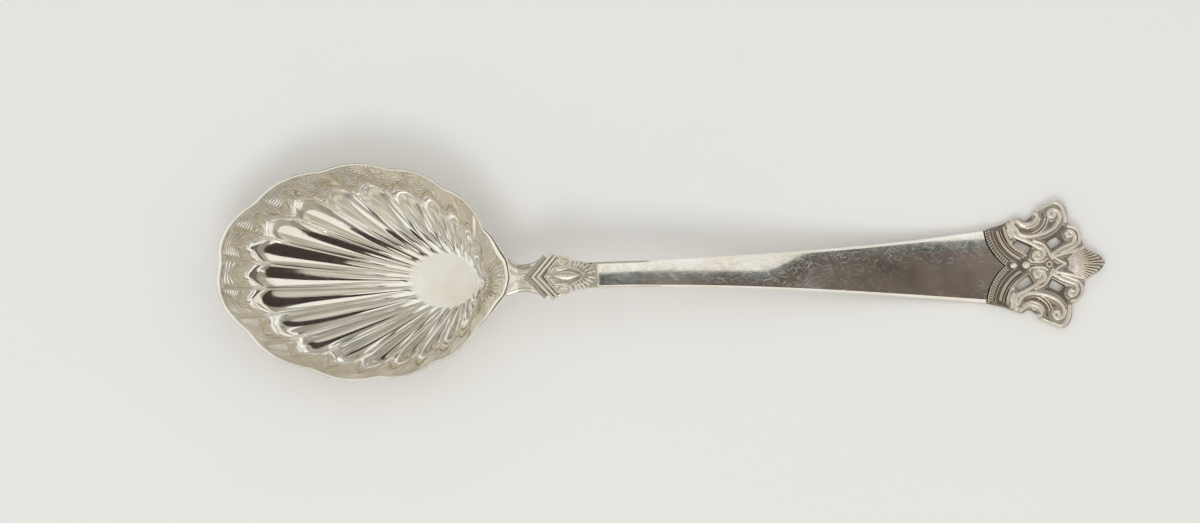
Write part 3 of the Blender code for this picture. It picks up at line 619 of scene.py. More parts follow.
def rim_point(flute):
    """Outer edge of the rim in plan before the scallops: an ellipse drawn out to the neck's root."""
    half_length = (BOWL_LENGTH - BOWL_POINT) / 2
    flute = rim_place(flute)
    angle = np.abs(flute_angle(flute))
    corner = flute_angle(HALF_TURN_FLUTES - 0.5)
    ellipse = np.minimum(angle, RIM_STRAIGHT_FROM)
    drawn_out = np.clip((angle - RIM_STRAIGHT_FROM) / (corner - RIM_STRAIGHT_FROM), 0.0, 1.0)
    closing = np.clip((math.pi - angle) / (math.pi - corner), 0.0, 1.0)
    x = (half_length - BOWL_LENGTH - half_length * np.cos(ellipse)) * (1.0 - drawn_out)
    y = BOWL_WIDTH / 2 * np.sin(ellipse) * (1.0 - RIM_FULLNESS * np.cos(ellipse))
    x = x + NECK_ROUND * (1.0 - closing ** 2)
    y = (y + (NECK_ROOT_WIDTH / 2 - y) * drawn_out) * closing
    return np.stack((x, np.copysign(y, flute)), axis=-1)


def rim_land(flute):
    """Width of the rim's flat top: wider where it runs into the neck."""
    return RIM_LAND + RIM_LAND_GAIN * np.exp(-((np.abs(flute) - RIM_LAND_WIDEST) / RIM_LAND_RUN) ** 2)


def boss_point(flute):
    """Edge of the smooth boss in plan."""
    angle = flute_angle(shifted(flute, *BOSS_SHIFT))
    x = -BOSS_FROM_NECK - BOSS_LENGTH / 2 * np.cos(angle)
    return np.stack((x, BOSS_WIDTH / 2 * np.sin(angle)), axis=-1)


def neck_fade(flute, run=1.0):
    """Flutes and scallops die out beside the neck, over a run of flutes."""
    return smooth_step((HALF_TURN_FLUTES - 1 - np.abs(flute)) / run)


def scallop(flute):
    """How far the rim falls back: most at the even flutes, none at the odd ones."""
    wave = np.sqrt(np.sin(math.pi * rim_place(flute) / 2) ** 2 + NOTCH_SOFTNESS)
    return SCALLOP_DEPTH * np.maximum(1.0 - wave, 0.0) * neck_fade(flute)


def rim_way(flute):
    """Direction in plan from boss to rim, and the length of that way."""
    way = rim_point(flute) - boss_point(flute)
    span = np.linalg.norm(way, axis=-1)
    return way / span[..., None], span


def wall_foot(flute, wave=FOOT_WAVE):
    """Share of the way to the rim at which the wall begins, and the height of the even floor there."""
    _, span = rim_way(flute)
    longest = BOWL_LENGTH - BOSS_FROM_NECK - BOSS_LENGTH / 2
    band_width = BAND_AT_TIP + (BAND_AT_NECK - BAND_AT_TIP) * np.abs(flute) / HALF_TURN_FLUTES
    lean = flute_lean(flute)
    at_side = FOOT_WAVE_AT_TIP + (1.0 - FOOT_WAVE_AT_TIP) * np.abs(lean)
    wave = wave * neck_fade(flute, FOOT_WAVE_FADE) * at_side
    band_width = band_width * (1.0 - wave * np.cos(math.tau * flute - FOOT_LEAN * lean))
    share = np.maximum(1.0 - band_width / span, BAND_START_LEAST)
    return share, FLOOR_RISE * np.sqrt(share * span / longest)


def bowl_height(flute, share, wave):
    """Height of the inner face above the boss: a rising floor that turns up into the wall."""
    foot, _ = wall_foot(flute, wave)
    even, rise = wall_foot(flute, 0.0)
    floor = rise * (share / even) ** FLOOR_CURVE
    start = rise * (foot / even) ** FLOOR_CURVE
    wall = BOWL_DEPTH - (BOWL_DEPTH - start) * (1.0 - share) / (1.0 - foot)
    blend = WALL_BLEND * smooth_step(share / foot)
    return 0.5 * (floor + wall + np.sqrt((floor - wall) ** 2 + blend ** 2))


def bowl_base(flute, share, wave=FOOT_WAVE):
    """Inner face of the bowl without its flutes, from the boss at share 0 to the rim at share 1."""
    direction, span = rim_way(flute)
    fall = scallop(flute) * smooth_step((share - SCALLOP_FROM) / (1.0 - SCALLOP_FROM))
    plan = boss_point(flute) + direction * ((span - rim_land(flute) - fall) * share)[..., None]
    height = BOWL_DEPTH * bowl_height(flute, share, wave) / bowl_height(flute, np.ones_like(share), wave)
    height = height * (1.0 - RIM_ROUND / BOWL_DEPTH)
    return np.concatenate((plan, (BOWL_WALL + height)[..., None]), axis=-1)


def grid_normals(points):
    """Normals into the bowl of a grid whose columns run round it."""
    along = np.gradient(points, axis=0)
    around = np.roll(points, -1, axis=1) - np.roll(points, 1, axis=1)
    normal = np.cross(along, around)
    normal /= np.linalg.norm(normal, axis=-1, keepdims=True)
    inward = np.einsum("...i,...i->...", normal, ABOVE_BOWL - points)
    return np.where(inward[..., None] < 0, -normal, normal)


def flute_width(middle, share):
    """Distance between the ribs on either side of a flute."""
    sides = bowl_base(middle + 0.5, share)[..., :2] - bowl_base(middle - 0.5, share)[..., :2]
    return np.linalg.norm(sides, axis=-1)


def rib_start(middle, share):
    """Where the rib begins, as a share of the way from the flute's middle to the middle of the rib."""
    width = flute_width(middle, share)
    return 1.0 - np.minimum(RIB_WIDTH, RIB_WIDTH_SHARE * width) / width


def flute_places(share):
    """Places of the mesh's columns in flutes from the tip: each column keeps to its place beside the rib."""
    spread = np.tile((np.arange(FLUTE_COLUMNS) + 0.5) / FLUTE_COLUMNS * 2.0 - 1.0, FLUTES)
    middle = np.repeat(np.arange(FLUTES) - HALF_TURN_FLUTES, FLUTE_COLUMNS)
    spread, middle = np.broadcast_to(spread, share.shape), np.broadcast_to(middle, share.shape)
    edge = rib_start(middle, share)
    in_scoop = edge * np.sin(math.pi / 2 * np.minimum(np.abs(spread) / SCOOP_COLUMNS, 1.0))
    on_rib = edge + (1.0 - edge) * (np.abs(spread) - SCOOP_COLUMNS) / (1.0 - SCOOP_COLUMNS)
    across = np.copysign(np.where(np.abs(spread) < SCOOP_COLUMNS, in_scoop, on_rib), spread)
    places = middle + across / 2
    return np.where(places < -HALF_TURN_FLUTES, places + FLUTES, places)


def scoop_ends(flute, share):
    """How much of a scoop is left towards its ends, and the share at which its outer end lies."""
    across = across_flute(flute)
    lean = flute_lean(flute)
    rounding = SCOOP_END_ROUND * np.abs(across - SCOOP_END_SWAY * lean) ** SCOOP_END_POWER
    end = wall_foot(flute)[0] + SCOOP_END_LAP - rounding
    run = SCOOP_END_RUN * (1.0 + SCOOP_END_SOFT * (1.0 - across * lean))
    return smooth_step((end - share) / run) * smooth_step(share / SCOOP_START_RUN), end


def flute_parts(flute, share):
    """Height of the fluted floor, the rails along its ribs, and how clear a place is of ribs and rim."""
    middle = np.round(flute)
    across = across_flute(flute)
    width = flute_width(middle, share)
    edge = rib_start(middle, share)
    left, end = scoop_ends(flute, share)
    domed = 1.0 - np.minimum(np.abs(across / edge), 1.0) ** 2
    rib = 1.0 - np.clip((1.0 - np.abs(across)) / (1.0 - edge), 0.0, 1.0)
    groove = np.exp(-((1.0 - rib) / RIB_GROOVE_WIDTH) ** 2)
    rails = smooth_step(2.0 * rib) - groove
    standing = smooth_step(share / RIB_START_RUN)
    sunk = SCOOP_SINK * standing * (1.0 - smooth_step(rib)) - SCOOP_DOME * domed
    floor = -(width * sunk + RIB_GROOVE * standing * groove) * left

    gouge = smooth_step(1.0 - (end - share) / GOUGE_RUN) * smooth_step((end - share) / GOUGE_WALL)
    aside = (across - GOUGE_PLACE * flute_lean(flute)) / GOUGE_WIDTH
    outer = smooth_step((share - end) / GOUGE_RUN + 1.0) * smooth_step((1.0 - share) / RIM_CLEAR)
    floor = floor - GOUGE_DEPTH * width * gouge * np.exp(-aside ** 2) * domed + BAND_RIB * rails * outer
    clear = smooth_step((edge - np.abs(across)) / BAND_CLEAR) * smooth_step((1.0 - share) / RIM_CLEAR)
    return floor * neck_fade(flute), rails * neck_fade(flute), clear


def back_hollow(flute, share):
    """How far the back of the bowl swells under each scoop."""
    hollow = BACK_FLUTE_DEPTH * flute_width(np.round(flute), share) * (1.0 - across_flute(flute) ** 2)
    left = smooth_step((wall_foot(flute, 0.0)[0] + BACK_END_LAP - share) / BACK_END_RUN)
    return hollow * left * smooth_step(share / BACK_START_RUN) * neck_fade(flute)


def band_waves(x, y):
    """Chased lines round a scoop's end, 1 on their tops: millimetres across the flute and to the rim."""
    x = x - WAVE_CENTRE[0]
    y = y - WAVE_CENTRE[1]
    rings = np.hypot(x / WAVE_STRETCH, y) + WAVE_SWAY * np.sin(WAVE_SWAY_TURN[0] * x + WAVE_SWAY_TURN[1] * y)
    return 0.5 + 0.5 * np.cos(math.tau * rings / WAVE_PITCH)


def heel_ridges():
    """Palmette tongues and a beaded line in the bowl's heel: millimetres from the joint of bowl and neck."""
    turns = HEEL_TONGUE_TURN * HEEL_TONGUES
    ends = HEEL_TONGUE_END - HEEL_TONGUE_FALL * np.abs(HEEL_TONGUES)
    vein_start = HEEL_TONGUE_START + HEEL_VEIN_INSET
    ridges = rays(HEEL_ROOT, turns, vein_start, ends - HEEL_VEIN_INSET, *HEEL_VEIN_RIDGE)
    for turn, end in zip(turns, ends):
        out = unit(turn)
        side = np.array((-out[1], out[0]))
        near = HEEL_ROOT + HEEL_TONGUE_START * out
        far = HEEL_ROOT + end * out
        half = HEEL_TONGUE_HALF * side
        foot = HEEL_TONGUE_FOOT * side
        loop = [near - foot, (near + far) / 2 - half, far - half / 2, far + HEEL_TONGUE_POINT * out,
                far + half / 2, (near + far) / 2 + half, near + foot]
        ridges.append((curve(loop), *HEEL_TONGUE_RIDGE))
    for step in HEEL_BEADS:
        bead = HEEL_ROOT + HEEL_BEAD_RADII * unit(HEEL_BEAD_TURN * step)
        ridges.append((np.array((bead, bead)), *HEEL_BEAD_RIDGE))
    return ridges


def bowl_grid():
    """Flutes and shares of the inner face's points, from boss to rim, and the foot of the wall."""
    foot = wall_foot(flute_places(np.ones(FLUTES * FLUTE_COLUMNS)))[0]
    scoop_rows = np.linspace(0.0, 1.0, SCOOP_ROWS, endpoint=False)[:, None] * foot
    band_rows = foot + np.linspace(0.0, 1.0, BAND_ROWS + 1)[:, None] * (1.0 - foot)
    share = np.vstack((scoop_rows, band_rows))
    return flute_places(share), share, foot


def worked_face(flute, share, foot):
    """Inner face of the bowl with all its work, and how bright each point of it is rubbed."""
    base = bowl_base(flute, share)
    floor, rails, clear = flute_parts(flute, share)
    start = foot + SCOOP_END_LAP
    side = np.where(flute < 0, -1.0, 1.0) * across_flute(flute) / 2
    chased = band_waves(side * BAND_CELL[0], (share - start) / (1.0 - start) * BAND_CELL[1])
    in_band = smooth_step((share - scoop_ends(flute, share)[1]) / BAND_EDGE_RUN) * neck_fade(flute[-1])
    chased = chased * clear * in_band
    in_heel = 1.0 - neck_fade(np.abs(flute[-1]) + HEEL_FLUTES)
    heel = ridge_relief(base[..., :2].reshape(-1, 2) / MM, heel_ridges()).reshape(share.shape)
    heel = heel * in_heel * smooth_step((1.0 - share) / HEEL_CLEAR)
    lift = floor + BAND_RELIEF * chased + HEEL_RELIEF * heel
    relief = np.clip(np.maximum.reduce((chased, heel, rails)), 0.0, 1.0)
    worn = 1.0 - BAND_TONE * np.maximum(in_band, in_heel) * (1.0 - relief)
    return base + grid_normals(base) * lift[..., None], worn


def boss_rings(flutes):
    """The boss, a little dished, inside its edge."""
    centre = np.array((-BOSS_FROM_NECK, 0.0))
    rings = []
    for step in range(1, BOSS_ROWS):
        size = step / BOSS_ROWS
        plan = centre + size * (boss_point(flutes) - centre)
        height = BOWL_WALL - BOSS_DISH * (1.0 - size ** 2)
        rings.append(np.column_stack((plan, np.full(len(flutes), height))))
    return rings


def rim_rings(flutes, inner, joint):
    """Rounded top of the rim, from the edge of the inner face outwards."""
    direction, _ = rim_way(flutes)
    outer = rim_point(flutes) - direction * scallop(flutes)[:, None]
    outer[:, 0] = np.minimum(outer[:, 0], joint)
    rings = []
    for step in range(1, RIM_STEPS + 1):
        turn = math.pi * step / RIM_STEPS
        plan = inner[:, :2] + (outer - inner[:, :2]) * (1.0 - math.cos(turn)) / 2
        height = RIM_HEIGHT - RIM_ROUND * (1.0 - math.sqrt(math.sin(turn) + TINY))
        rings.append(np.column_stack((plan, np.full(len(flutes), height))))
    return rings


def back_rings(flutes, joint):
    """Back of the bowl from the rim to the boss, flat on the table and cut off at the neck."""
    share = np.linspace(BACK_START, 0.0, BACK_ROWS)[:, None] * np.ones(len(flutes))
    flute = np.broadcast_to(flutes, share.shape)
    base = bowl_base(flute, share, BACK_FOOT_WAVE)
    thinned = smooth_step((share - WALL_THINS_FROM) / (1.0 - WALL_THINS_FROM))
    wall = BOWL_WALL + (rim_land(flute) - BOWL_WALL) * thinned + back_hollow(flute, share)
    back = base - grid_normals(base) * wall[..., None]
    back[..., 0] = np.minimum(back[..., 0], joint)
    back[..., 2] = np.maximum(back[..., 2], 0.0)
    return back


def build_bowl(material):
    """Raised sheet with scoops, ribs, a chased band and a smooth boss. Returns the points of its back."""
    flute, share, foot = bowl_grid()
    rim_flutes = flute[-1]
    inner, worn = worked_face(flute, share, foot)
    joint = np.maximum(rim_point(rim_flutes)[:, 0], 0.0)
    boss = boss_rings(flute[0])
    back = back_rings(rim_flutes, joint)
    rings = np.concatenate((boss, inner, rim_rings(rim_flutes, inner[-1], joint), back))
    face = slice(len(boss), len(boss) + len(inner))
    tones = np.ones(rings.shape[:2])
    tones[face] = worn
    matt = np.zeros(rings.shape[:2])
    matt[:len(boss)] = 1.0
    matt[face] = 1.0 - smooth_step(share / BOSS_MATT_RUN)
    vertices, faces = skin(rings)
    turn = np.array(Matrix.Rotation(-BOWL_SET, 3, "Z"))
    shift = np.array((0.0, neck_offset(0.0), 0.0))
    bowl = add_piece("bowl_silver", vertices @ turn.T + shift, faces, material, "bowl",
                     np.append(tones, (1.0, 1.0)))
    add_attribute(bowl.data, "matt", np.append(matt, (1.0, 0.0)))
    return back @ turn.T + shift


# Stem and collar

# Widths along the stem, at shares of its length
STEM_WIDTHS = [(0.0, NECK_ROOT_WIDTH), (0.085, NECK_FLARE_WIDTH), (0.2, NECK_WAIST_WIDTH),
               (0.36, COLLAR_SEAT_WIDTH), (0.52, PAD_WIDTH), (0.61, SHOULDER_WIDTH), (0.7, PAD_WIDTH),
               (0.8, PAD_WIDTH), (0.91, PAD_END_WIDTH), (1.0, BLADE_ROOT_WIDTH)]
# Line that leads the rim into the neck, in millimetres: points, half width, height
NECK_LINES = [([(-0.1, 2.35), (0.35, 1.55), (0.9, 0.95), (1.6, 0.6)], 0.2, 0.8)]
# Half of the fan before the collar: root, angles, start and end of each ray, half width, height
NECK_FAN = ((1.55, 0.0), 20 * np.arange(3), 0.3, 1.5 + 0.1 * np.arange(3), 0.14, 0.8)
# Half of a reed's section, from its groove outwards
REED_HALF = [(0.04, 0.62), (0.14, 0.9), (0.28, 1.0), (0.42, 0.85), (0.5, 0.55), (0.5, 0.0)]
REED_GROOVE_POINTS = slice(4, 8)


def stem_section(half, share, top):
    """Places across and up round the stem: its upper face with rounded edges, then its underside."""
    upper = np.linspace(-1.0, 1.0, STEM_COLUMNS)
    crown = np.column_stack((upper * half, top - STEM_EDGE_FALL * upper ** STEM_EDGE_POWER))
    turns = np.linspace(0.0, math.pi, STEM_UNDER_COLUMNS + 2)[1:-1]
    side = np.cos(turns)
    thickness = STEM_THICKNESS + (NECK_ROOT_THICKNESS - STEM_THICKNESS) * share
    narrowing = (HEEL_WIDTH / 2 - half) * share
    lower_y = (half + narrowing * (1.0 - side) / 2) * np.sign(side) * np.abs(side) ** STEM_SIDE_POWER
    lower_z = top - STEM_FLANK - (thickness - STEM_FLANK) * np.sin(turns) ** STEM_UNDER_POWER
    return np.vstack((crown, np.column_stack((lower_y, lower_z))))


def heel_place(heel, y, height):
    """How far along the spoon the bowl's back lies at a place across and up: a mean of its nearest points."""
    gaps = (heel[:, 1] - y) ** 2 + (heel[:, 2] - height) ** 2
    nearest = np.argpartition(gaps, HEEL_NEAREST)[:HEEL_NEAREST]
    weights = 1.0 / (gaps[nearest] + HEEL_LEAST_GAP)
    return (heel[nearest, 0] * weights).sum() / weights.sum()


def build_stem(material, bowl_back):
    """Neck and shoulder pad; its end follows the bowl's back."""
    heel = bowl_back.reshape(-1, 3)
    heel = heel[heel[:, 0] > -HEEL_REACH]
    outline = curve([(STEM_LENGTH * share, width / 2) for share, width in STEM_WIDTHS], 12)
    rings = []
    for x in np.linspace(0.0, STEM_LENGTH, STEM_ROWS):
        share = float(neck_share(x))
        section = stem_section(np.interp(x, *outline.T), share, float(handle_top(x)))
        along = 0.0
        if share > 0:
            along = share * np.array([heel_place(heel, y + neck_offset(0.0), z) for y, z in section])
        ahead = unit(math.degrees(neck_turn(x)))
        across, up = section.T
        rings.append(np.column_stack((x + along * ahead[0] - across * ahead[1],
                                      neck_offset(x) + along * ahead[1] + across * ahead[0], up)))
    rings = np.array(rings)
    ridges = both_sides(drawn(NECK_LINES) + rays(*NECK_FAN))
    rise = ridge_relief(rings[..., :2].reshape(-1, 2) / MM, ridges).reshape(rings.shape[:2])
    upper_face = np.zeros(rings.shape[1])
    upper_face[1:STEM_COLUMNS - 1] = 1.0
    rings[..., 2] += NECK_RELIEF * rise * upper_face
    along = rings[..., 0]
    carved = smooth_step((FAN_END - along) / FAN_FADE) * smooth_step((along - FAN_START) / FAN_FADE)
    worn = 1.0 - FAN_TONE * carved * upper_face * (1.0 - np.clip(rise, 0.0, 1.0))
    vertices, faces = skin(rings)
    add_piece("stem_silver", vertices, faces, material, "stem",
              np.append(worn, (1.0, 1.0)))


def sweep(path, section, seat):
    """Rings of one section, or of one for each point, along a path. A section has places across and up."""
    path = np.asarray(path, float)
    ways = np.diff(path, axis=0)
    ways /= np.linalg.norm(ways, axis=1, keepdims=True)
    ahead = np.vstack((ways, ways[-1:]))
    both = ahead + np.vstack((ways[:1], ways))
    side = np.stack((-both[:, 1], both[:, 0]), axis=1)
    side /= np.linalg.norm(side, axis=1, keepdims=True)
    straight = np.stack((-ahead[:, 1], ahead[:, 0]), axis=1)
    mitre = 1.0 / np.maximum(np.einsum("ij,ij->i", side, straight), MITRE_LEAST)
    sections = np.broadcast_to(section, (len(path),) + np.shape(section)[-2:])
    rings = []
    for point, across, part in zip(path, side * mitre[:, None], sections):
        plan = point + across * part[:, :1]
        rings.append(np.column_stack((plan, seat(plan[:, 0]) + part[:, 1])))
    return np.array(rings)


def rounded_ends(path, section):
    """The section at each place along a collar's wire, shrunk to round ends."""
    lengths = path_lengths(path)
    left = np.minimum(lengths, lengths[-1] - lengths) / COLLAR_END_ROUND
    swell = np.sqrt(1.0 - (1.0 - np.clip(left, WIRE_END_LEAST, 1.0)) ** 2)
    return section * np.stack((WIRE_END_WIDTH + (1.0 - WIRE_END_WIDTH) * swell, swell), axis=1)[:, None, :]


def dome(centre, length, width, height, seat, sides, levels):
    """Rings of a domed grain on its seat."""
    turns = np.linspace(0.0, math.tau, sides, endpoint=False)
    rings = []
    for tilt in np.linspace(0.0, DOME_TOP, levels):
        x = centre[0] + length / 2 * math.cos(tilt) * np.cos(turns)
        y = centre[1] + width / 2 * math.cos(tilt) * np.sin(turns)
        rings.append(np.column_stack((x, y, seat(np.full(sides, centre[0])) + height * math.sin(tilt))))
    return np.array(rings)


def merge(parts):
    """One set of vertices and faces from several."""
    vertices = []
    faces = []
    count = 0
    for part_vertices, part_faces in parts:
        vertices.append(part_vertices)
        faces += [tuple(index + count for index in face) for face in part_faces]
        count += len(part_vertices)
    return np.vstack(vertices), faces


def half_round(width, height, steps=10):
    """Section of a wire with a flat underside and a round top."""
    turns = np.linspace(0.0, math.pi, steps + 1)
    up = height * (WIRE_FLANK + (1.0 - WIRE_FLANK) * np.sin(turns))
    return np.vstack(((width / 2, 0.0), np.column_stack((width / 2 * np.cos(turns), up)), (-width / 2, 0.0)))


def double_reed(width, height):
    """Section of a reed with a groove along its top."""
    half = np.array(REED_HALF)
    return np.vstack((half[::-1], half * np.array((-1.0, 1.0)))) * np.array((width, height))


def beaded_wire(path, corner, end, width):
    """Grooved strip along a path, with a row of beads on either arm."""
    strip = double_reed(width, COLLAR_STRIP_HEIGHT * COLLAR_HEIGHT)
    strip[REED_GROOVE_POINTS, 0] *= COLLAR_STRIP_GROOVE
    parts = [skin(sweep(path, rounded_ends(path, strip), handle_seat))]
    height = COLLAR_BEAD_HEIGHT * COLLAR_HEIGHT
    for side in (1.0, -1.0):
        for step in range(COLLAR_BEADS):
            place = corner + (end - corner) * (step + COLLAR_BEAD_FIRST) / COLLAR_BEADS
            place = place * np.array((1.0, side))
            bead = dome(place, COLLAR_BEAD_SIZE, COLLAR_BEAD_SIZE, height, handle_seat, *COLLAR_BEAD_MESH)
            parts.append(skin(bead))
    return merge(parts)


def build_collar(material):
    """A beaded wire and two rails, bent to a chevron whose point is towards the bowl."""
    names = ["collar_beaded_wire", "collar_front_rail", "collar_rear_rail"]
    widths = [COLLAR_BEAD_WIDTH, COLLAR_RAIL_WIDTH, COLLAR_RAIL_WIDTH]
    slope = math.atan2(SHOULDER_WIDTH / 2, COLLAR_REACH)
    vertex = COLLAR_VERTEX
    for name, width, span, following in zip(names, widths, COLLAR_SPANS, widths[1:] + [0.0]):
        corner = np.array((vertex, 0.0))
        end = np.array((vertex + COLLAR_REACH * span / SHOULDER_WIDTH, span / 2))
        upper = end + (corner - end) * np.linspace(0.0, 1.0, COLLAR_STEPS + 1)[:, None]
        path = np.vstack((upper, mirrored(upper)[::-1][1:]))
        if name == "collar_beaded_wire":
            vertices, faces = beaded_wire(path, corner, end, width)
        else:
            section = rounded_ends(path, half_round(width, COLLAR_HEIGHT))
            vertices, faces = skin(sweep(path, section, handle_seat))
        height = (vertices[:, 2] - handle_seat(vertices[:, 0])) / COLLAR_HEIGHT
        worn = rubbed(height, *COLLAR_RUB)
        add_piece(name + "_silver", vertices, faces, material, name, worn)
        vertex += ((width + following) / 2 + SOLDER_GAP) / math.sin(slope)


# Shoulder leaf

# Upper half of the outline, in millimetres
LEAF_OUTLINE = [(5.75, 0.0), (7.24, 1.8), (8.24, 2.95), (8.81, 3.24), (9.6, 3.35), (10.4, 3.05), (11.1, 2.55),
                (12.0, 2.4), (13.3, 2.1), (14.2, 1.5), (14.75, 0.7), (14.9, 0.0)]
# Volute, its eye, a border and a side line of the upper half, in millimetres: points, half width, height
LEAF_LINES = [([(7.3, 0.55), (8.0, 1.3), (9.2, 1.45), (10.2, 1.75), (10.6, 2.4), (10.05, 3.02), (9.2, 3.05),
                (8.65, 2.55), (8.95, 2.05), (9.55, 2.05), (9.85, 2.45)], 0.27, 0.85),
              ([(9.28, 2.5), (9.32, 2.5)], 0.36, 1.0),
              ([(10.55, 1.6), (11.5, 1.15), (12.3, 0.7), (12.75, 0.0)], 0.15, 0.6),
              ([(6.9, 1.25), (7.7, 2.0), (8.3, 2.75)], 0.24, 0.7)]
LEAF_BUD = [([(6.75, 0.0), (7.0, 0.0)], 0.36, 0.9)]
LEAF_MIDDLE = (np.array((7.6, 0.0)), np.array((12.2, 0.0)), 0.86, 1.0)
# Fan of tongues: values at its first tongue, and how far they change up to its last one
TONGUES = 6
TONGUE_TURN = (62, -50)
TONGUE_ROOT_X = (11.0, 2.15)
TONGUE_ROOT_Y = (1.25, -1.0)
TONGUE_ROOT_POWER = 1.6
TONGUE_LENGTH = (1.5, 0.3)
TONGUE_LENS = (0.29, 0.85)


def leaf_lenses():
    """The pointed leaf on the axis and the tongues that fan out round it, in millimetres."""
    lenses = [LEAF_MIDDLE]
    for share in np.linspace(0.0, 1.0, TONGUES):
        out = unit(TONGUE_TURN[0] + TONGUE_TURN[1] * share)
        root = np.array((TONGUE_ROOT_X[0] + TONGUE_ROOT_X[1] * share,
                         TONGUE_ROOT_Y[0] + TONGUE_ROOT_Y[1] * share ** TONGUE_ROOT_POWER))
        tip = root + (TONGUE_LENGTH[0] + TONGUE_LENGTH[1] * share) * out
        lenses.append((root, tip, *TONGUE_LENS))
        lenses.append((mirrored(root), mirrored(tip), *TONGUE_LENS))
    return lenses


def build_leaf(material):
    """Cast cartouche over the seam of stem and blade."""
    half = curve(LEAF_OUTLINE)
    loops = [np.vstack((mirrored(half), half[::-1][1:-1])) * MM]
    ridges = both_sides(drawn(LEAF_LINES)) + drawn(LEAF_BUD)
    lenses = leaf_lenses()

    def top(points):
        relief = np.maximum(cast_relief(points / MM, ridges), lens_relief(points / MM, lenses))
        fall = edge_fall(loops_distance(points, loops), LEAF_PLATE, LEAF_EDGE)
        return handle_seat(points[:, 0]) + LEAF_PLATE + LEAF_RELIEF * relief - fall, rubbed(relief, *LEAF_RUB)

    vertices, faces, worn = relief_plate(loops, handle_seat, top)
    add_piece("shoulder_leaf_silver", vertices, faces, material, "shoulder_leaf", worn)


# Blade and finial


def finial_xy(points):
    """Places on the spoon of points given as shares of the finial's length and of half its width."""
    return np.array((FINIAL_START, 0.0)) + np.array(points) * np.array((FINIAL_LENGTH, FINIAL_WIDTH / 2))


BAND_CENTRE = finial_xy((0.424, 0.671))
BAND_OPENING = 0.0002
TONGUE_RADIUS = 0.442 * FINIAL_LENGTH
ROPE_RADIUS = 0.4165 * FINIAL_LENGTH
REED_RADIUS = 0.332 * FINIAL_LENGTH
REED_BY_PIERCING = [(0.155, 0.612), (0.17, 0.482), (0.204, 0.35), (0.25, 0.254), (0.3, 0.19), (0.337, 0.136)]


def band(radius, first, last, steps):
    """Stretch of a band across the finial's root, from the flank at share 0 to the axis at share 1."""
    flank = math.asin(min((BAND_CENTRE[1] - FINIAL_ROOT) / radius, 1.0))
    axis = math.asin(min(BAND_CENTRE[1] / (radius + BAND_OPENING), 1.0))
    shares = np.linspace(first, last, steps + 1)
    angles = math.pi + flank + (axis - flank) * shares
    reach = radius + BAND_OPENING * shares
    return BAND_CENTRE + reach[:, None] * np.stack((np.cos(angles), np.sin(angles)), axis=1)


def bevel(x, y, top):
    """Two points round an edge of the blade, from its upper face outwards."""
    inward = -math.copysign(BEVEL_OUT * BLADE_BEVEL, y)
    return [(x, y + inward, top - BEVEL_DROP * BLADE_BEVEL), (x, y, top - BLADE_BEVEL)]


def build_blade(material):
    """Plain blade with bevelled edges, slightly crowned, ending in a tongue between the two bands."""
    tongue = band(TONGUE_RADIUS, 0.0, 1.0, TONGUE_STEPS)
    across = tongue[:-1, 1] / tongue[0, 1]
    shares = np.concatenate((across, (0.0,), -across[::-1]))
    limits = np.concatenate((tongue[:, 0], tongue[:-1, 0][::-1])) - SOLDER_GAP
    start = STEM_LENGTH + SOLDER_GAP
    root = BLADE_ROOT_WIDTH / 2
    rings = []
    for t in np.linspace(0.0, 1.0, BLADE_ROWS):
        x = start + (limits - start) * t
        reach = np.clip((np.minimum(x, FINIAL_START) - STEM_LENGTH) / BLADE_LENGTH, 0.0, 1.0)
        half = root + (FINIAL_ROOT - root) * reach ** 2
        y = shares * half
        inner = shares * (half - BLADE_BEVEL)
        roll = math.tan(BLADE_ROLL) * smooth_step((x - BLADE_ROLL_FROM) / BLADE_ROLL_RUN)
        top = handle_top(x) - inner ** 2 / (2 * BLADE_CROWN) + roll * (inner - half) / 2
        thickness = BLADE_END_THICKNESS + (BLADE_ROOT_THICKNESS - BLADE_END_THICKNESS) * (1.0 - reach) ** 2
        lower = np.column_stack((x, y, handle_top(x) - thickness))
        rings.append(np.vstack((bevel(x[0], y[0], top[0])[::-1], np.column_stack((x, inner, top)),
                                bevel(x[-1], y[-1], top[-1]), lower[::-1])))
    rings = np.array(rings)
    rows, columns = rings.shape[:2]
    faces = ring_faces(rows, columns)
    faces.append(list(range(columns))[::-1])
    last = (rows - 1) * columns
    upper = np.arange(len(shares)) + last + 2
    lower = last + columns - 1 - np.arange(len(shares))
    faces += np.stack((upper[:-1], upper[1:], lower[1:], lower[:-1]), axis=1).tolist()
    faces.append((last, last + 1, upper[0], lower[0]))
    faces.append((upper[-1], upper[-1] + 1, upper[-1] + 2, lower[-1]))
    add_piece("blade_silver", rings.reshape(-1, 3), faces, material, "handle_blade",
              sharp_angle=BLADE_SHARP)


# Upper half of the outline from the flank to the tip, and the piercings, as shares of length and half width
FINIAL_FLANK = [(0.13, 0.645), (0.21, 0.708), (0.283, 0.751)]
FINIAL_LOBES = [[(0.283, 0.751), (0.339, 0.701), (0.393, 0.764), (0.42, 0.843)],
                [(0.42, 0.843), (0.52, 0.93), (0.61, 1.0), (0.666, 0.944), (0.698, 0.819), (0.702, 0.634)],
                [(0.702, 0.634), (0.757, 0.574), (0.8, 0.488), (0.814, 0.362), (0.823, 0.259)],
                [(0.823, 0.259), (0.89, 0.19), (0.957, 0.11), (1.0, 0.0)]]
PIERCINGS = [[(0.224, 0.324), (0.264, 0.389), (0.382, 0.28), (0.344, 0.166)],
             [(0.509, 0.349), (0.594, 0.433), (0.651, 0.355), (0.547, 0.236)]]
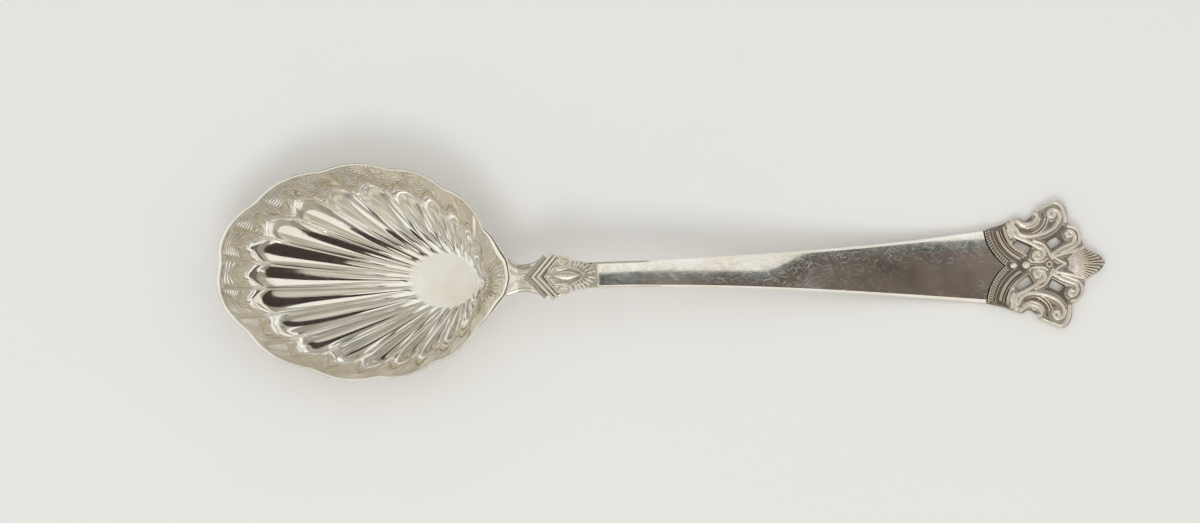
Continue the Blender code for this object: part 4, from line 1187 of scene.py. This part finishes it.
# Lines of the upper half, in millimetres from the finial's root: points, half width, height.
# They are the inner scroll, its inner line and its leaf, the crest, the outer scroll, the rim, the side
# volute, the side lobe, the chevron, the palmette's border, and the strap beside the reeds with its dot.
FINIAL_LINES = [
    ([(4.65, 7.3), (4.42, 6.1), (4.86, 5.07), (6.16, 4.39), (7.62, 3.69), (8.6, 3.05), (9.45, 2.6),
      (9.75, 1.9), (9.35, 1.15), (8.5, 0.95), (7.95, 1.45), (8.2, 2.05), (8.75, 2.0), (8.85, 1.65)],
     0.48, 0.95),
    ([(7.15, 1.0), (7.6, 0.55), (8.6, 0.42), (9.6, 0.5), (10.2, 0.95)], 0.28, 0.75),
    ([(8.1, 4.1), (9.57, 3.45), (10.39, 2.47), (10.79, 1.5), (11.1, 0.9)], 0.34, 0.8),
    ([(5.4, 7.5), (6.32, 6.9), (7.3, 6.78), (8.27, 7.2), (8.84, 7.9), (8.8, 8.55), (8.35, 8.6)], 0.4, 1.0),
    ([(4.94, 6.5), (5.83, 5.3), (7.3, 4.86), (8.76, 4.95), (10.22, 5.35), (11.53, 6.1), (12.45, 7.19),
      (12.75, 8.16), (12.3, 9.0), (11.5, 9.25), (10.85, 8.75), (10.95, 8.15), (11.6, 8.05), (11.75, 8.5)],
     0.46, 0.95),
    ([(9.0, 9.25), (9.9, 9.7), (10.9, 10.15), (11.95, 10.45), (12.85, 9.9), (13.45, 8.6), (13.6, 7.2)],
     0.42, 0.8),
    ([(11.2, 1.76), (12.5, 2.57), (13.64, 3.06), (14.7, 3.5), (15.1, 4.36), (14.78, 5.2), (14.05, 5.5),
      (13.6, 5.05), (13.9, 4.55), (14.35, 4.7)], 0.44, 0.95),
    ([(12.6, 1.9), (14.0, 2.45), (15.2, 3.0), (15.85, 4.0), (15.75, 5.2), (15.0, 6.1), (14.0, 6.35)],
     0.36, 0.75),
    ([(11.04, 1.5), (12.0, 0.68), (13.3, 0.06)], 0.32, 0.95),
    ([(11.7, 1.35), (13.6, 1.75), (15.3, 2.25), (16.3, 2.6)], 0.36, 0.85),
    ([(3.95, 6.95), (3.85, 5.7), (4.3, 4.75)], 0.34, 0.85),
    ([(4.25, 3.95), (4.3, 3.95)], 0.36, 0.9)]
# Arcs round the crest: radius, first and last angle in degrees, half width, height
CREST_CENTRE = (7.3, 8.35)
CREST_ARCS = [(2.05, 205, 345, 0.26, 0.8), (2.95, 285, 350, 0.2, 0.65), (3.45, 285, 350, 0.2, 0.65)]
# Ticks round the crest and half of the palmette: root, angles, start and end of each ray, half width, height
CREST_TICKS = (CREST_CENTRE, 210 + 5.6 * np.arange(25), 2.3, 2.72, 0.1, 0.75)
PALMETTE = ((12.7, 0.0), 2 + 5.2 * np.arange(8), 1.3, 6.8 - 2.5 * np.linspace(0.0, 1.0, 8) ** 0.8, 0.19, 0.9)
# Eye before the palmette: centre, radius, first and last angle
EYE = ((10.57, 0.0), 0.42, 0, 360)
# Lines in the channels between the wires: radius as a share of the finial's length, first and last share
CHANNEL_LINES = ((0.372, 0.03, 0.85), (0.302, 0.03, 0.75))
CHANNEL_STEPS = 30
CHANNEL_RIDGE = (0.14, 0.35)
EYE_RIDGE = (0.2, 0.8)


def rounded_loop(corners, share=0.16, steps=5):
    """Closed loop through straight sides with rounded corners."""
    loop = []
    for before, corner, after in zip(np.roll(corners, 1, axis=0), corners, np.roll(corners, -1, axis=0)):
        first = corner + share * (before - corner)
        last = corner + share * (after - corner)
        for t in np.linspace(0.0, 1.0, steps):
            loop.append((1 - t) ** 2 * first + 2 * t * (1 - t) * corner + t ** 2 * last)
    return np.array(loop)


def finial_loops():
    """Outline of the openwork with its four piercings."""
    root = band(TONGUE_RADIUS, 1.0, 0.0, TONGUE_STEPS)
    lines = [root, curve(np.vstack((root[-1:], finial_xy(FINIAL_FLANK))))[1:-1]]
    lines += [curve(finial_xy(lobe))[:-1] for lobe in FINIAL_LOBES]
    half = np.vstack(lines + [finial_xy(FINIAL_LOBES[-1][-1:])])
    loops = [np.vstack((mirrored(half), half[::-1][1:-1]))]
    for piercing in PIERCINGS:
        hole = rounded_loop(finial_xy(piercing))
        loops += [hole[::-1], mirrored(hole)]
    return loops


def finial_ridges():
    """Scrolls, volutes and palmette of the openwork, in millimetres from the finial's root."""
    ridges = drawn(FINIAL_LINES) + rays(*CREST_TICKS) + rays(*PALMETTE)
    for radius, first, last, width, height in CREST_ARCS:
        ridges.append((arc(CREST_CENTRE, radius, first, last), width, height))
    for radius, first, last in CHANNEL_LINES:
        line = band(radius * FINIAL_LENGTH, first, last, CHANNEL_STEPS) - np.array((FINIAL_START, 0.0))
        ridges.append((line / MM, *CHANNEL_RIDGE))
    return both_sides(ridges) + [(arc(*EYE), *EYE_RIDGE)]


def build_finial(material):
    """Pierced scrollwork casting."""
    loops = finial_loops()
    ridges = finial_ridges()

    def top(points):
        relief = cast_relief((points - np.array((FINIAL_START, 0.0))) / MM, ridges)
        fall = edge_fall(loops_distance(points, loops), FINIAL_EDGE_FALL, FINIAL_EDGE)
        return FINIAL_PLATE + FINIAL_RELIEF * relief - fall, rubbed(relief, *FINIAL_RUB)

    vertices, faces, worn = relief_plate(loops, np.zeros_like, top)
    add_piece("finial_silver", vertices, faces, material, "finial_openwork", worn)


def milled_sections(path):
    """Sections of a rope wire: a row of slanting ticks between two plain borders."""
    across = np.linspace(0.5, -0.5, ROPE_COLUMNS)
    starts = smooth_step((np.abs(across) - ROPE_BORDER[0]) / ROPE_BORDER_RUN[0])
    ends = smooth_step((np.abs(across) - ROPE_BORDER[1]) / ROPE_BORDER_RUN[1])
    border = starts * (1.0 - ROPE_BORDER_FALL * ends)
    sections = []
    for length in path_lengths(path):
        tick = 0.5 + 0.5 * np.cos(math.tau * (length / TICK_PITCH + TICK_SLANT * across))
        top = np.maximum(border, TICK_LOWEST + (1.0 - TICK_LOWEST) * tick)
        face = np.column_stack((ROPE_WIDTH * across, ROPE_HEIGHT * top))
        sections.append(np.vstack(((ROPE_WIDTH / 2, 0.0), face, (-ROPE_WIDTH / 2, 0.0))))
    return np.array(sections)


def build_bands(material):
    """Rope wires and reeds across the finial's root, in mirrored pairs."""
    rope = band(ROPE_RADIUS, *ROPE_SPAN, ROPE_STEPS)
    reed = double_reed(REED_WIDTH, REED_HEIGHT)
    wires = [("rope_wire", rope, milled_sections(rope), ROPE_HEIGHT),
             ("reed_first", band(REED_RADIUS, *REED_SPAN, REED_STEPS), reed, REED_HEIGHT),
             ("reed_second", curve(finial_xy(REED_BY_PIERCING), 10), reed, REED_HEIGHT)]
    for name, path, section, height in wires:
        for side, place in ((1.0, "_upper"), (-1.0, "_lower")):
            vertices, faces = skin(sweep(path, section, finial_seat) * np.array((1.0, side, 1.0)))
            worn = rubbed((vertices[:, 2] - FINIAL_PLATE) / height, *WIRE_RUB)
            node = name + place
            add_piece(node + "_silver", vertices, faces, material, node, worn)


def build_beads(material):
    """Two grains on the axis."""
    for name, (share, length, width, height) in BEADS.items():
        bead = dome(finial_xy((share, 0.0)), length, width, height, finial_seat, *BEAD_MESH)
        vertices, faces = skin(bead)
        worn = rubbed((vertices[:, 2] - FINIAL_PLATE) / height, *BEAD_RUB)
        add_piece(name + "_silver", vertices, faces, material, name, worn)


# Finishes

# Bright and oxidised colour, least and most roughness, depth of the grain, depth of the scratches
BRIGHT = (0.9, 0.875, 0.82)
FINISHES = {"bowl": (BRIGHT, (0.58, 0.55, 0.48), (0.03, 0.06), 0.000002, 0.0),
            "blade": (BRIGHT, (0.6, 0.56, 0.48), (0.03, 0.06), 0.000002, 0.0000009),
            "stem": (BRIGHT, (0.42, 0.39, 0.33), (0.14, 0.24), 0.00001, 0.0),
            "shoulder": (BRIGHT, (0.42, 0.385, 0.33), (0.14, 0.26), 0.00001, 0.0),
            "worked": ((0.85, 0.805, 0.745), (0.24, 0.21, 0.18), (0.16, 0.28), 0.00001, 0.0)}
BRIGHT_FROM = 0.75
TARNISH_DETAIL = 5.0
GRAIN_DETAIL = 3.0
DULL_DETAIL = 2.0
COARSE_DETAIL = 1.0
TARNISH = ((0.35, (0.93, 0.9, 0.84)), (0.65, (1.0, 1.0, 1.0)))
TARNISH_SCALE = 160.0
GRAIN_SCALE = 900.0
GRAIN_RANGE = (0.3, 0.7)
GRAIN_STRENGTH = 0.35
MATT_ROUGHNESS = 0.18
SCRATCH_SIZE = (0.0026, 0.000045, 1.0)
SCRATCH_TURNS = (6, -28, 47, -66)
SCRATCH_RARITY = (0.67, 0.75)
# Roughness, coordinates and scale of an uneven tone, and its levels from place to place
PAPER = (0.9, "Generated", 60.0, ((0.0, 0.98), (1.0, 1.0)))
CLOTH = (1.0, "Object", 28.0, ((0.32, 0.6), (0.68, 1.4)))


def set_inputs(tree, node, inputs):
    """Give a node's inputs their values, or links from other nodes' outputs."""
    for name, value in inputs.items():
        if isinstance(value, bpy.types.NodeSocket):
            tree.links.new(value, node.inputs[name])
        else:
            node.inputs[name].default_value = value


def add_node(tree, kind, inputs, output, **settings):
    """New shader node with its settings and inputs. Gives back the output that is asked for."""
    node = tree.nodes.new("ShaderNode" + kind)
    for name, value in settings.items():
        setattr(node, name, value)
    set_inputs(tree, node, inputs)
    return node.outputs[output]


def map_range(tree, value, source, target=(0.0, 1.0)):
    """Value carried from one range over to another."""
    return add_node(tree, "MapRange", {"Value": value, "From Min": source[0], "From Max": source[1],
                                       "To Min": target[0], "To Max": target[1]}, "Result")


def noise(tree, place, scale, detail):
    """Soft random value at a place."""
    return add_node(tree, "TexNoise", {"Vector": place, "Scale": scale, "Detail": detail}, "Fac")


def colour_ramp(tree, value, stops):
    """Colour that runs through stops, each given as a place from 0 to 1 and a colour."""
    output = add_node(tree, "ValToRGB", {"Fac": value}, "Color")
    elements = output.node.color_ramp.elements
    elements.remove(elements[1])
    elements[0].position = stops[0][0]
    elements[0].color = (*stops[0][1], 1.0)
    for place, colour in stops[1:]:
        elements.new(place).color = (*colour, 1.0)
    return output


def shade(colour, level):
    """A colour made darker or lighter."""
    return tuple(level * value for value in colour)


def new_material(name, make_inputs):
    """Material whose shader takes the inputs that a function makes in its node tree."""
    material = bpy.data.materials.new(name)
    material.use_nodes = True
    tree = material.node_tree
    set_inputs(tree, tree.nodes["Principled BSDF"], make_inputs(tree))
    return material


def scratch_lines(tree, place):
    """Sparse fine scratches in several directions: 0 on clean metal, 1 in a scratch."""
    total = 0.0
    for turn in SCRATCH_TURNS:
        laid = add_node(tree, "Mapping", {"Vector": place, "Rotation": (0.0, 0.0, math.radians(turn)),
                                          "Scale": SCRATCH_SIZE}, "Vector", vector_type="TEXTURE")
        rare = map_range(tree, noise(tree, laid, 1.0, COARSE_DETAIL), SCRATCH_RARITY)
        total = add_node(tree, "Math", {0: total, 1: rare}, "Value", operation="MAXIMUM")
    return total


def silver(name, bright, oxide, roughness, grain_depth, scratch_depth):
    """Aged silver: dark in recesses, tarnished in soft clouds, with grain and fine scratches."""

    def inputs(tree):
        place = add_node(tree, "TexCoord", {}, "Object")
        worn = add_node(tree, "Attribute", {}, "Fac", attribute_name="worn")
        metal = colour_ramp(tree, worn, ((0.0, oxide), (BRIGHT_FROM, bright)))
        tarnish = colour_ramp(tree, noise(tree, place, TARNISH_SCALE, TARNISH_DETAIL), TARNISH)
        colour = add_node(tree, "Mix", {"Factor": 1.0, "A": metal, "B": tarnish}, "Result",
                          data_type="RGBA", blend_type="MULTIPLY")
        grain = noise(tree, place, GRAIN_SCALE, GRAIN_DETAIL)
        gloss = map_range(tree, grain, GRAIN_RANGE, roughness)
        matt = add_node(tree, "Attribute", {}, "Fac", attribute_name="matt")
        dulled = add_node(tree, "Math", {0: matt, 1: MATT_ROUGHNESS, 2: gloss}, "Value",
                          operation="MULTIPLY_ADD")
        relief = {"Strength": GRAIN_STRENGTH, "Distance": grain_depth, "Height": grain}
        if scratch_depth > 0.0:
            cuts = {"Strength": 1.0, "Distance": scratch_depth, "Height": scratch_lines(tree, place)}
            relief["Normal"] = add_node(tree, "Bump", cuts, "Normal")
        normal = add_node(tree, "Bump", relief, "Normal")
        return {"Metallic": 1.0, "Base Color": colour, "Roughness": dulled, "Normal": normal}

    return new_material(name, inputs)


def dull(name, colour, roughness, coordinates, scale, levels):
    """Paper or cloth, a little uneven in tone."""

    def inputs(tree):
        tone = noise(tree, add_node(tree, "TexCoord", {}, coordinates), scale, DULL_DETAIL)
        stops = [(place, shade(colour, level)) for place, level in levels]
        return {"Roughness": roughness, "Base Color": colour_ramp(tree, tone, stops)}

    return new_material(name, inputs)


# Stage

# Cards that shape the reflections: height above the table and corners in millimetres, colour
CARDS = {
    "bowl_flag": (160, [(-19, 80), (-23, 50), (-30, 15), (-37, -3), (-48, -17), (-57, -22), (-56, -31),
                        (-44, -26), (-30, -10), (-20, 8), (-13, 38), (-8, 80)], (0.05, 0.04, 0.037)),
    "blade_flag": (300, [(2, 2), (45, 2), (52, 22), (200, 22), (200, 31), (75, 30), (2, 28)],
                   (0.17, 0.185, 0.19)),
    "handle_flag": (300, [(45, 2), (60, -22), (200, -45), (200, 22), (52, 22)], (0.2, 0.17, 0.16)),
    "grey_card": (310, [(-170, 70), (70, 70), (70, 420), (-170, 420)], (0.56, 0.55, 0.51)),
    "front_card": (310, [(-300, -70), (80, -70), (80, -320), (-300, -320)], (0.72, 0.7, 0.64)),
    "lower_card": (165, [(-22, -60), (-5, -60), (-5, 25), (-17, 25)], (0.5, 0.48, 0.44)),
    "inner_card": (165, [(-36, 22), (-20, 22), (-20, 130), (-36, 130)], (0.75, 0.73, 0.69))}
TABLE_COLOUR = (0.86, 0.85, 0.83)
TABLE_HALF = 1.5
TABLE_DROP = 0.0002
LAMP_PLACE = Vector((-0.15, -0.75, 0.95))
LAMP_SIZE = (0.5, 0.4)
LAMP_POWER = 3.0
# Brightness of the room by height, black below the horizon, and of its uneven walls
ROOM_LEVELS = ((0.0, 0.0), (0.0, 0.4), (0.35, 0.6), (0.75, 0.8), (0.93, 0.95), (1.0, 1.0))
ROOM_TINT = (1.0, 0.995, 0.96)
WALL_SCALE = 5.0
WALL_RANGE = (0.35, 0.65)
WALL_LEVELS = (0.4, 1.5)
WALL_TOP = (0.7, 0.9)
# The photograph, in pixels, and the real size of one of them
IMAGE_SIZE = (1200, 523)
SPOON_MIDDLE = (664.0, 262.75)
PIXEL = 0.00016744
CAMERA_ELEVATION = math.radians(84)
CAMERA_ROLL = math.radians(2.07)
LENS = 100.0
SENSOR = 36.0


def add_plane(name, corners, material):
    """Flat stage piece."""
    mesh = bpy.data.meshes.new(name)
    mesh.from_pydata(corners, [], [tuple(range(len(corners)))])
    mesh.materials.append(material)
    plane = bpy.data.objects.new(name, mesh)
    bpy.context.scene.collection.objects.link(plane)
    return plane


def add_card(name, height, plan, colour):
    """Card that only reflections see."""
    corners = [(x * MM, y * MM, height * MM) for x, y in plan]
    card = add_plane(name, corners, dull(name + "_cloth", colour, *CLOTH))
    card.visible_camera = False
    card.visible_diffuse = False
    card.visible_shadow = False
    card.visible_transmission = False


def add_lamp():
    """Large soft lamp aimed at the middle of the table."""
    data = bpy.data.lights.new("key", "AREA")
    data.shape = "RECTANGLE"
    data.size, data.size_y = LAMP_SIZE
    data.energy = LAMP_POWER
    lamp = bpy.data.objects.new("key", data)
    bpy.context.scene.collection.objects.link(lamp)
    lamp.location = LAMP_PLACE
    lamp.rotation_mode = "QUATERNION"
    lamp.rotation_quaternion = (-LAMP_PLACE).to_track_quat("-Z", "Y")


def build_world():
    """Pale room with uneven walls, even and brighter overhead."""
    world = bpy.data.worlds.new("room")
    bpy.context.scene.world = world
    world.use_nodes = True
    tree = world.node_tree
    place = add_node(tree, "TexCoord", {}, "Generated")
    height = add_node(tree, "SeparateXYZ", {"Vector": place}, "Z")
    colour = colour_ramp(tree, height, [(stop, shade(ROOM_TINT, level)) for stop, level in ROOM_LEVELS])
    uneven = map_range(tree, noise(tree, place, WALL_SCALE, COARSE_DETAIL), WALL_RANGE, WALL_LEVELS)
    on_wall = map_range(tree, height, WALL_TOP, (1.0, 0.0))
    strength = add_node(tree, "Mix", {"Factor": on_wall, "A": 1.0, "B": uneven}, "Result", data_type="FLOAT")
    set_inputs(tree, tree.nodes["Background"], {"Color": colour, "Strength": strength})


def build_camera():
    """Camera nearly straight above, with the handle rising a little to the right."""
    data = bpy.data.cameras.new("camera")
    data.lens = LENS
    data.sensor_width = SENSOR
    camera = bpy.data.objects.new("camera", data)
    bpy.context.scene.collection.objects.link(camera)
    back = Vector((0.0, -math.cos(CAMERA_ELEVATION), math.sin(CAMERA_ELEVATION)))
    level = (-back).to_track_quat("-Z", "Y")
    turned = level.to_matrix() @ Matrix.Rotation(-CAMERA_ROLL, 3, "Z")
    low, high = (Vector(corner) for corner in cad_box)
    right = (SPOON_MIDDLE[0] - IMAGE_SIZE[0] / 2) * PIXEL
    down = (SPOON_MIDDLE[1] - IMAGE_SIZE[1] / 2) * PIXEL
    target = (low + high) / 2 + turned @ Vector((-right, down, 0.0))
    camera.location = target + back * (LENS / SENSOR * IMAGE_SIZE[0] * PIXEL)
    camera.rotation_euler = turned.to_euler()
    bpy.context.scene.camera = camera


def build_stage():
    """Pale table, cards, soft lamp and room."""
    corners = [(x * TABLE_HALF, y * TABLE_HALF, 0.0) for x, y in ((-1, -1), (1, -1), (1, 1), (-1, 1))]
    table = add_plane("table", corners, dull("table_paper", TABLE_COLOUR, *PAPER))
    table.location.z = -TABLE_DROP
    for name, (height, plan, colour) in CARDS.items():
        add_card(name, height, plan, colour)
    add_lamp()
    build_world()


def build_scene():
    """All the pieces, the stage and the camera."""
    finish = {name: silver(name + "_silver", *values) for name, values in FINISHES.items()}
    bowl_back = build_bowl(finish["bowl"])
    build_stem(finish["stem"], bowl_back)
    build_collar(finish["shoulder"])
    build_leaf(finish["shoulder"])
    build_blade(finish["blade"])
    build_finial(finish["worked"])
    build_bands(finish["worked"])
    build_beads(finish["stem"])
    build_stage()
    build_camera()
    bpy.context.scene.view_settings.view_transform = "Standard"


build_scene()
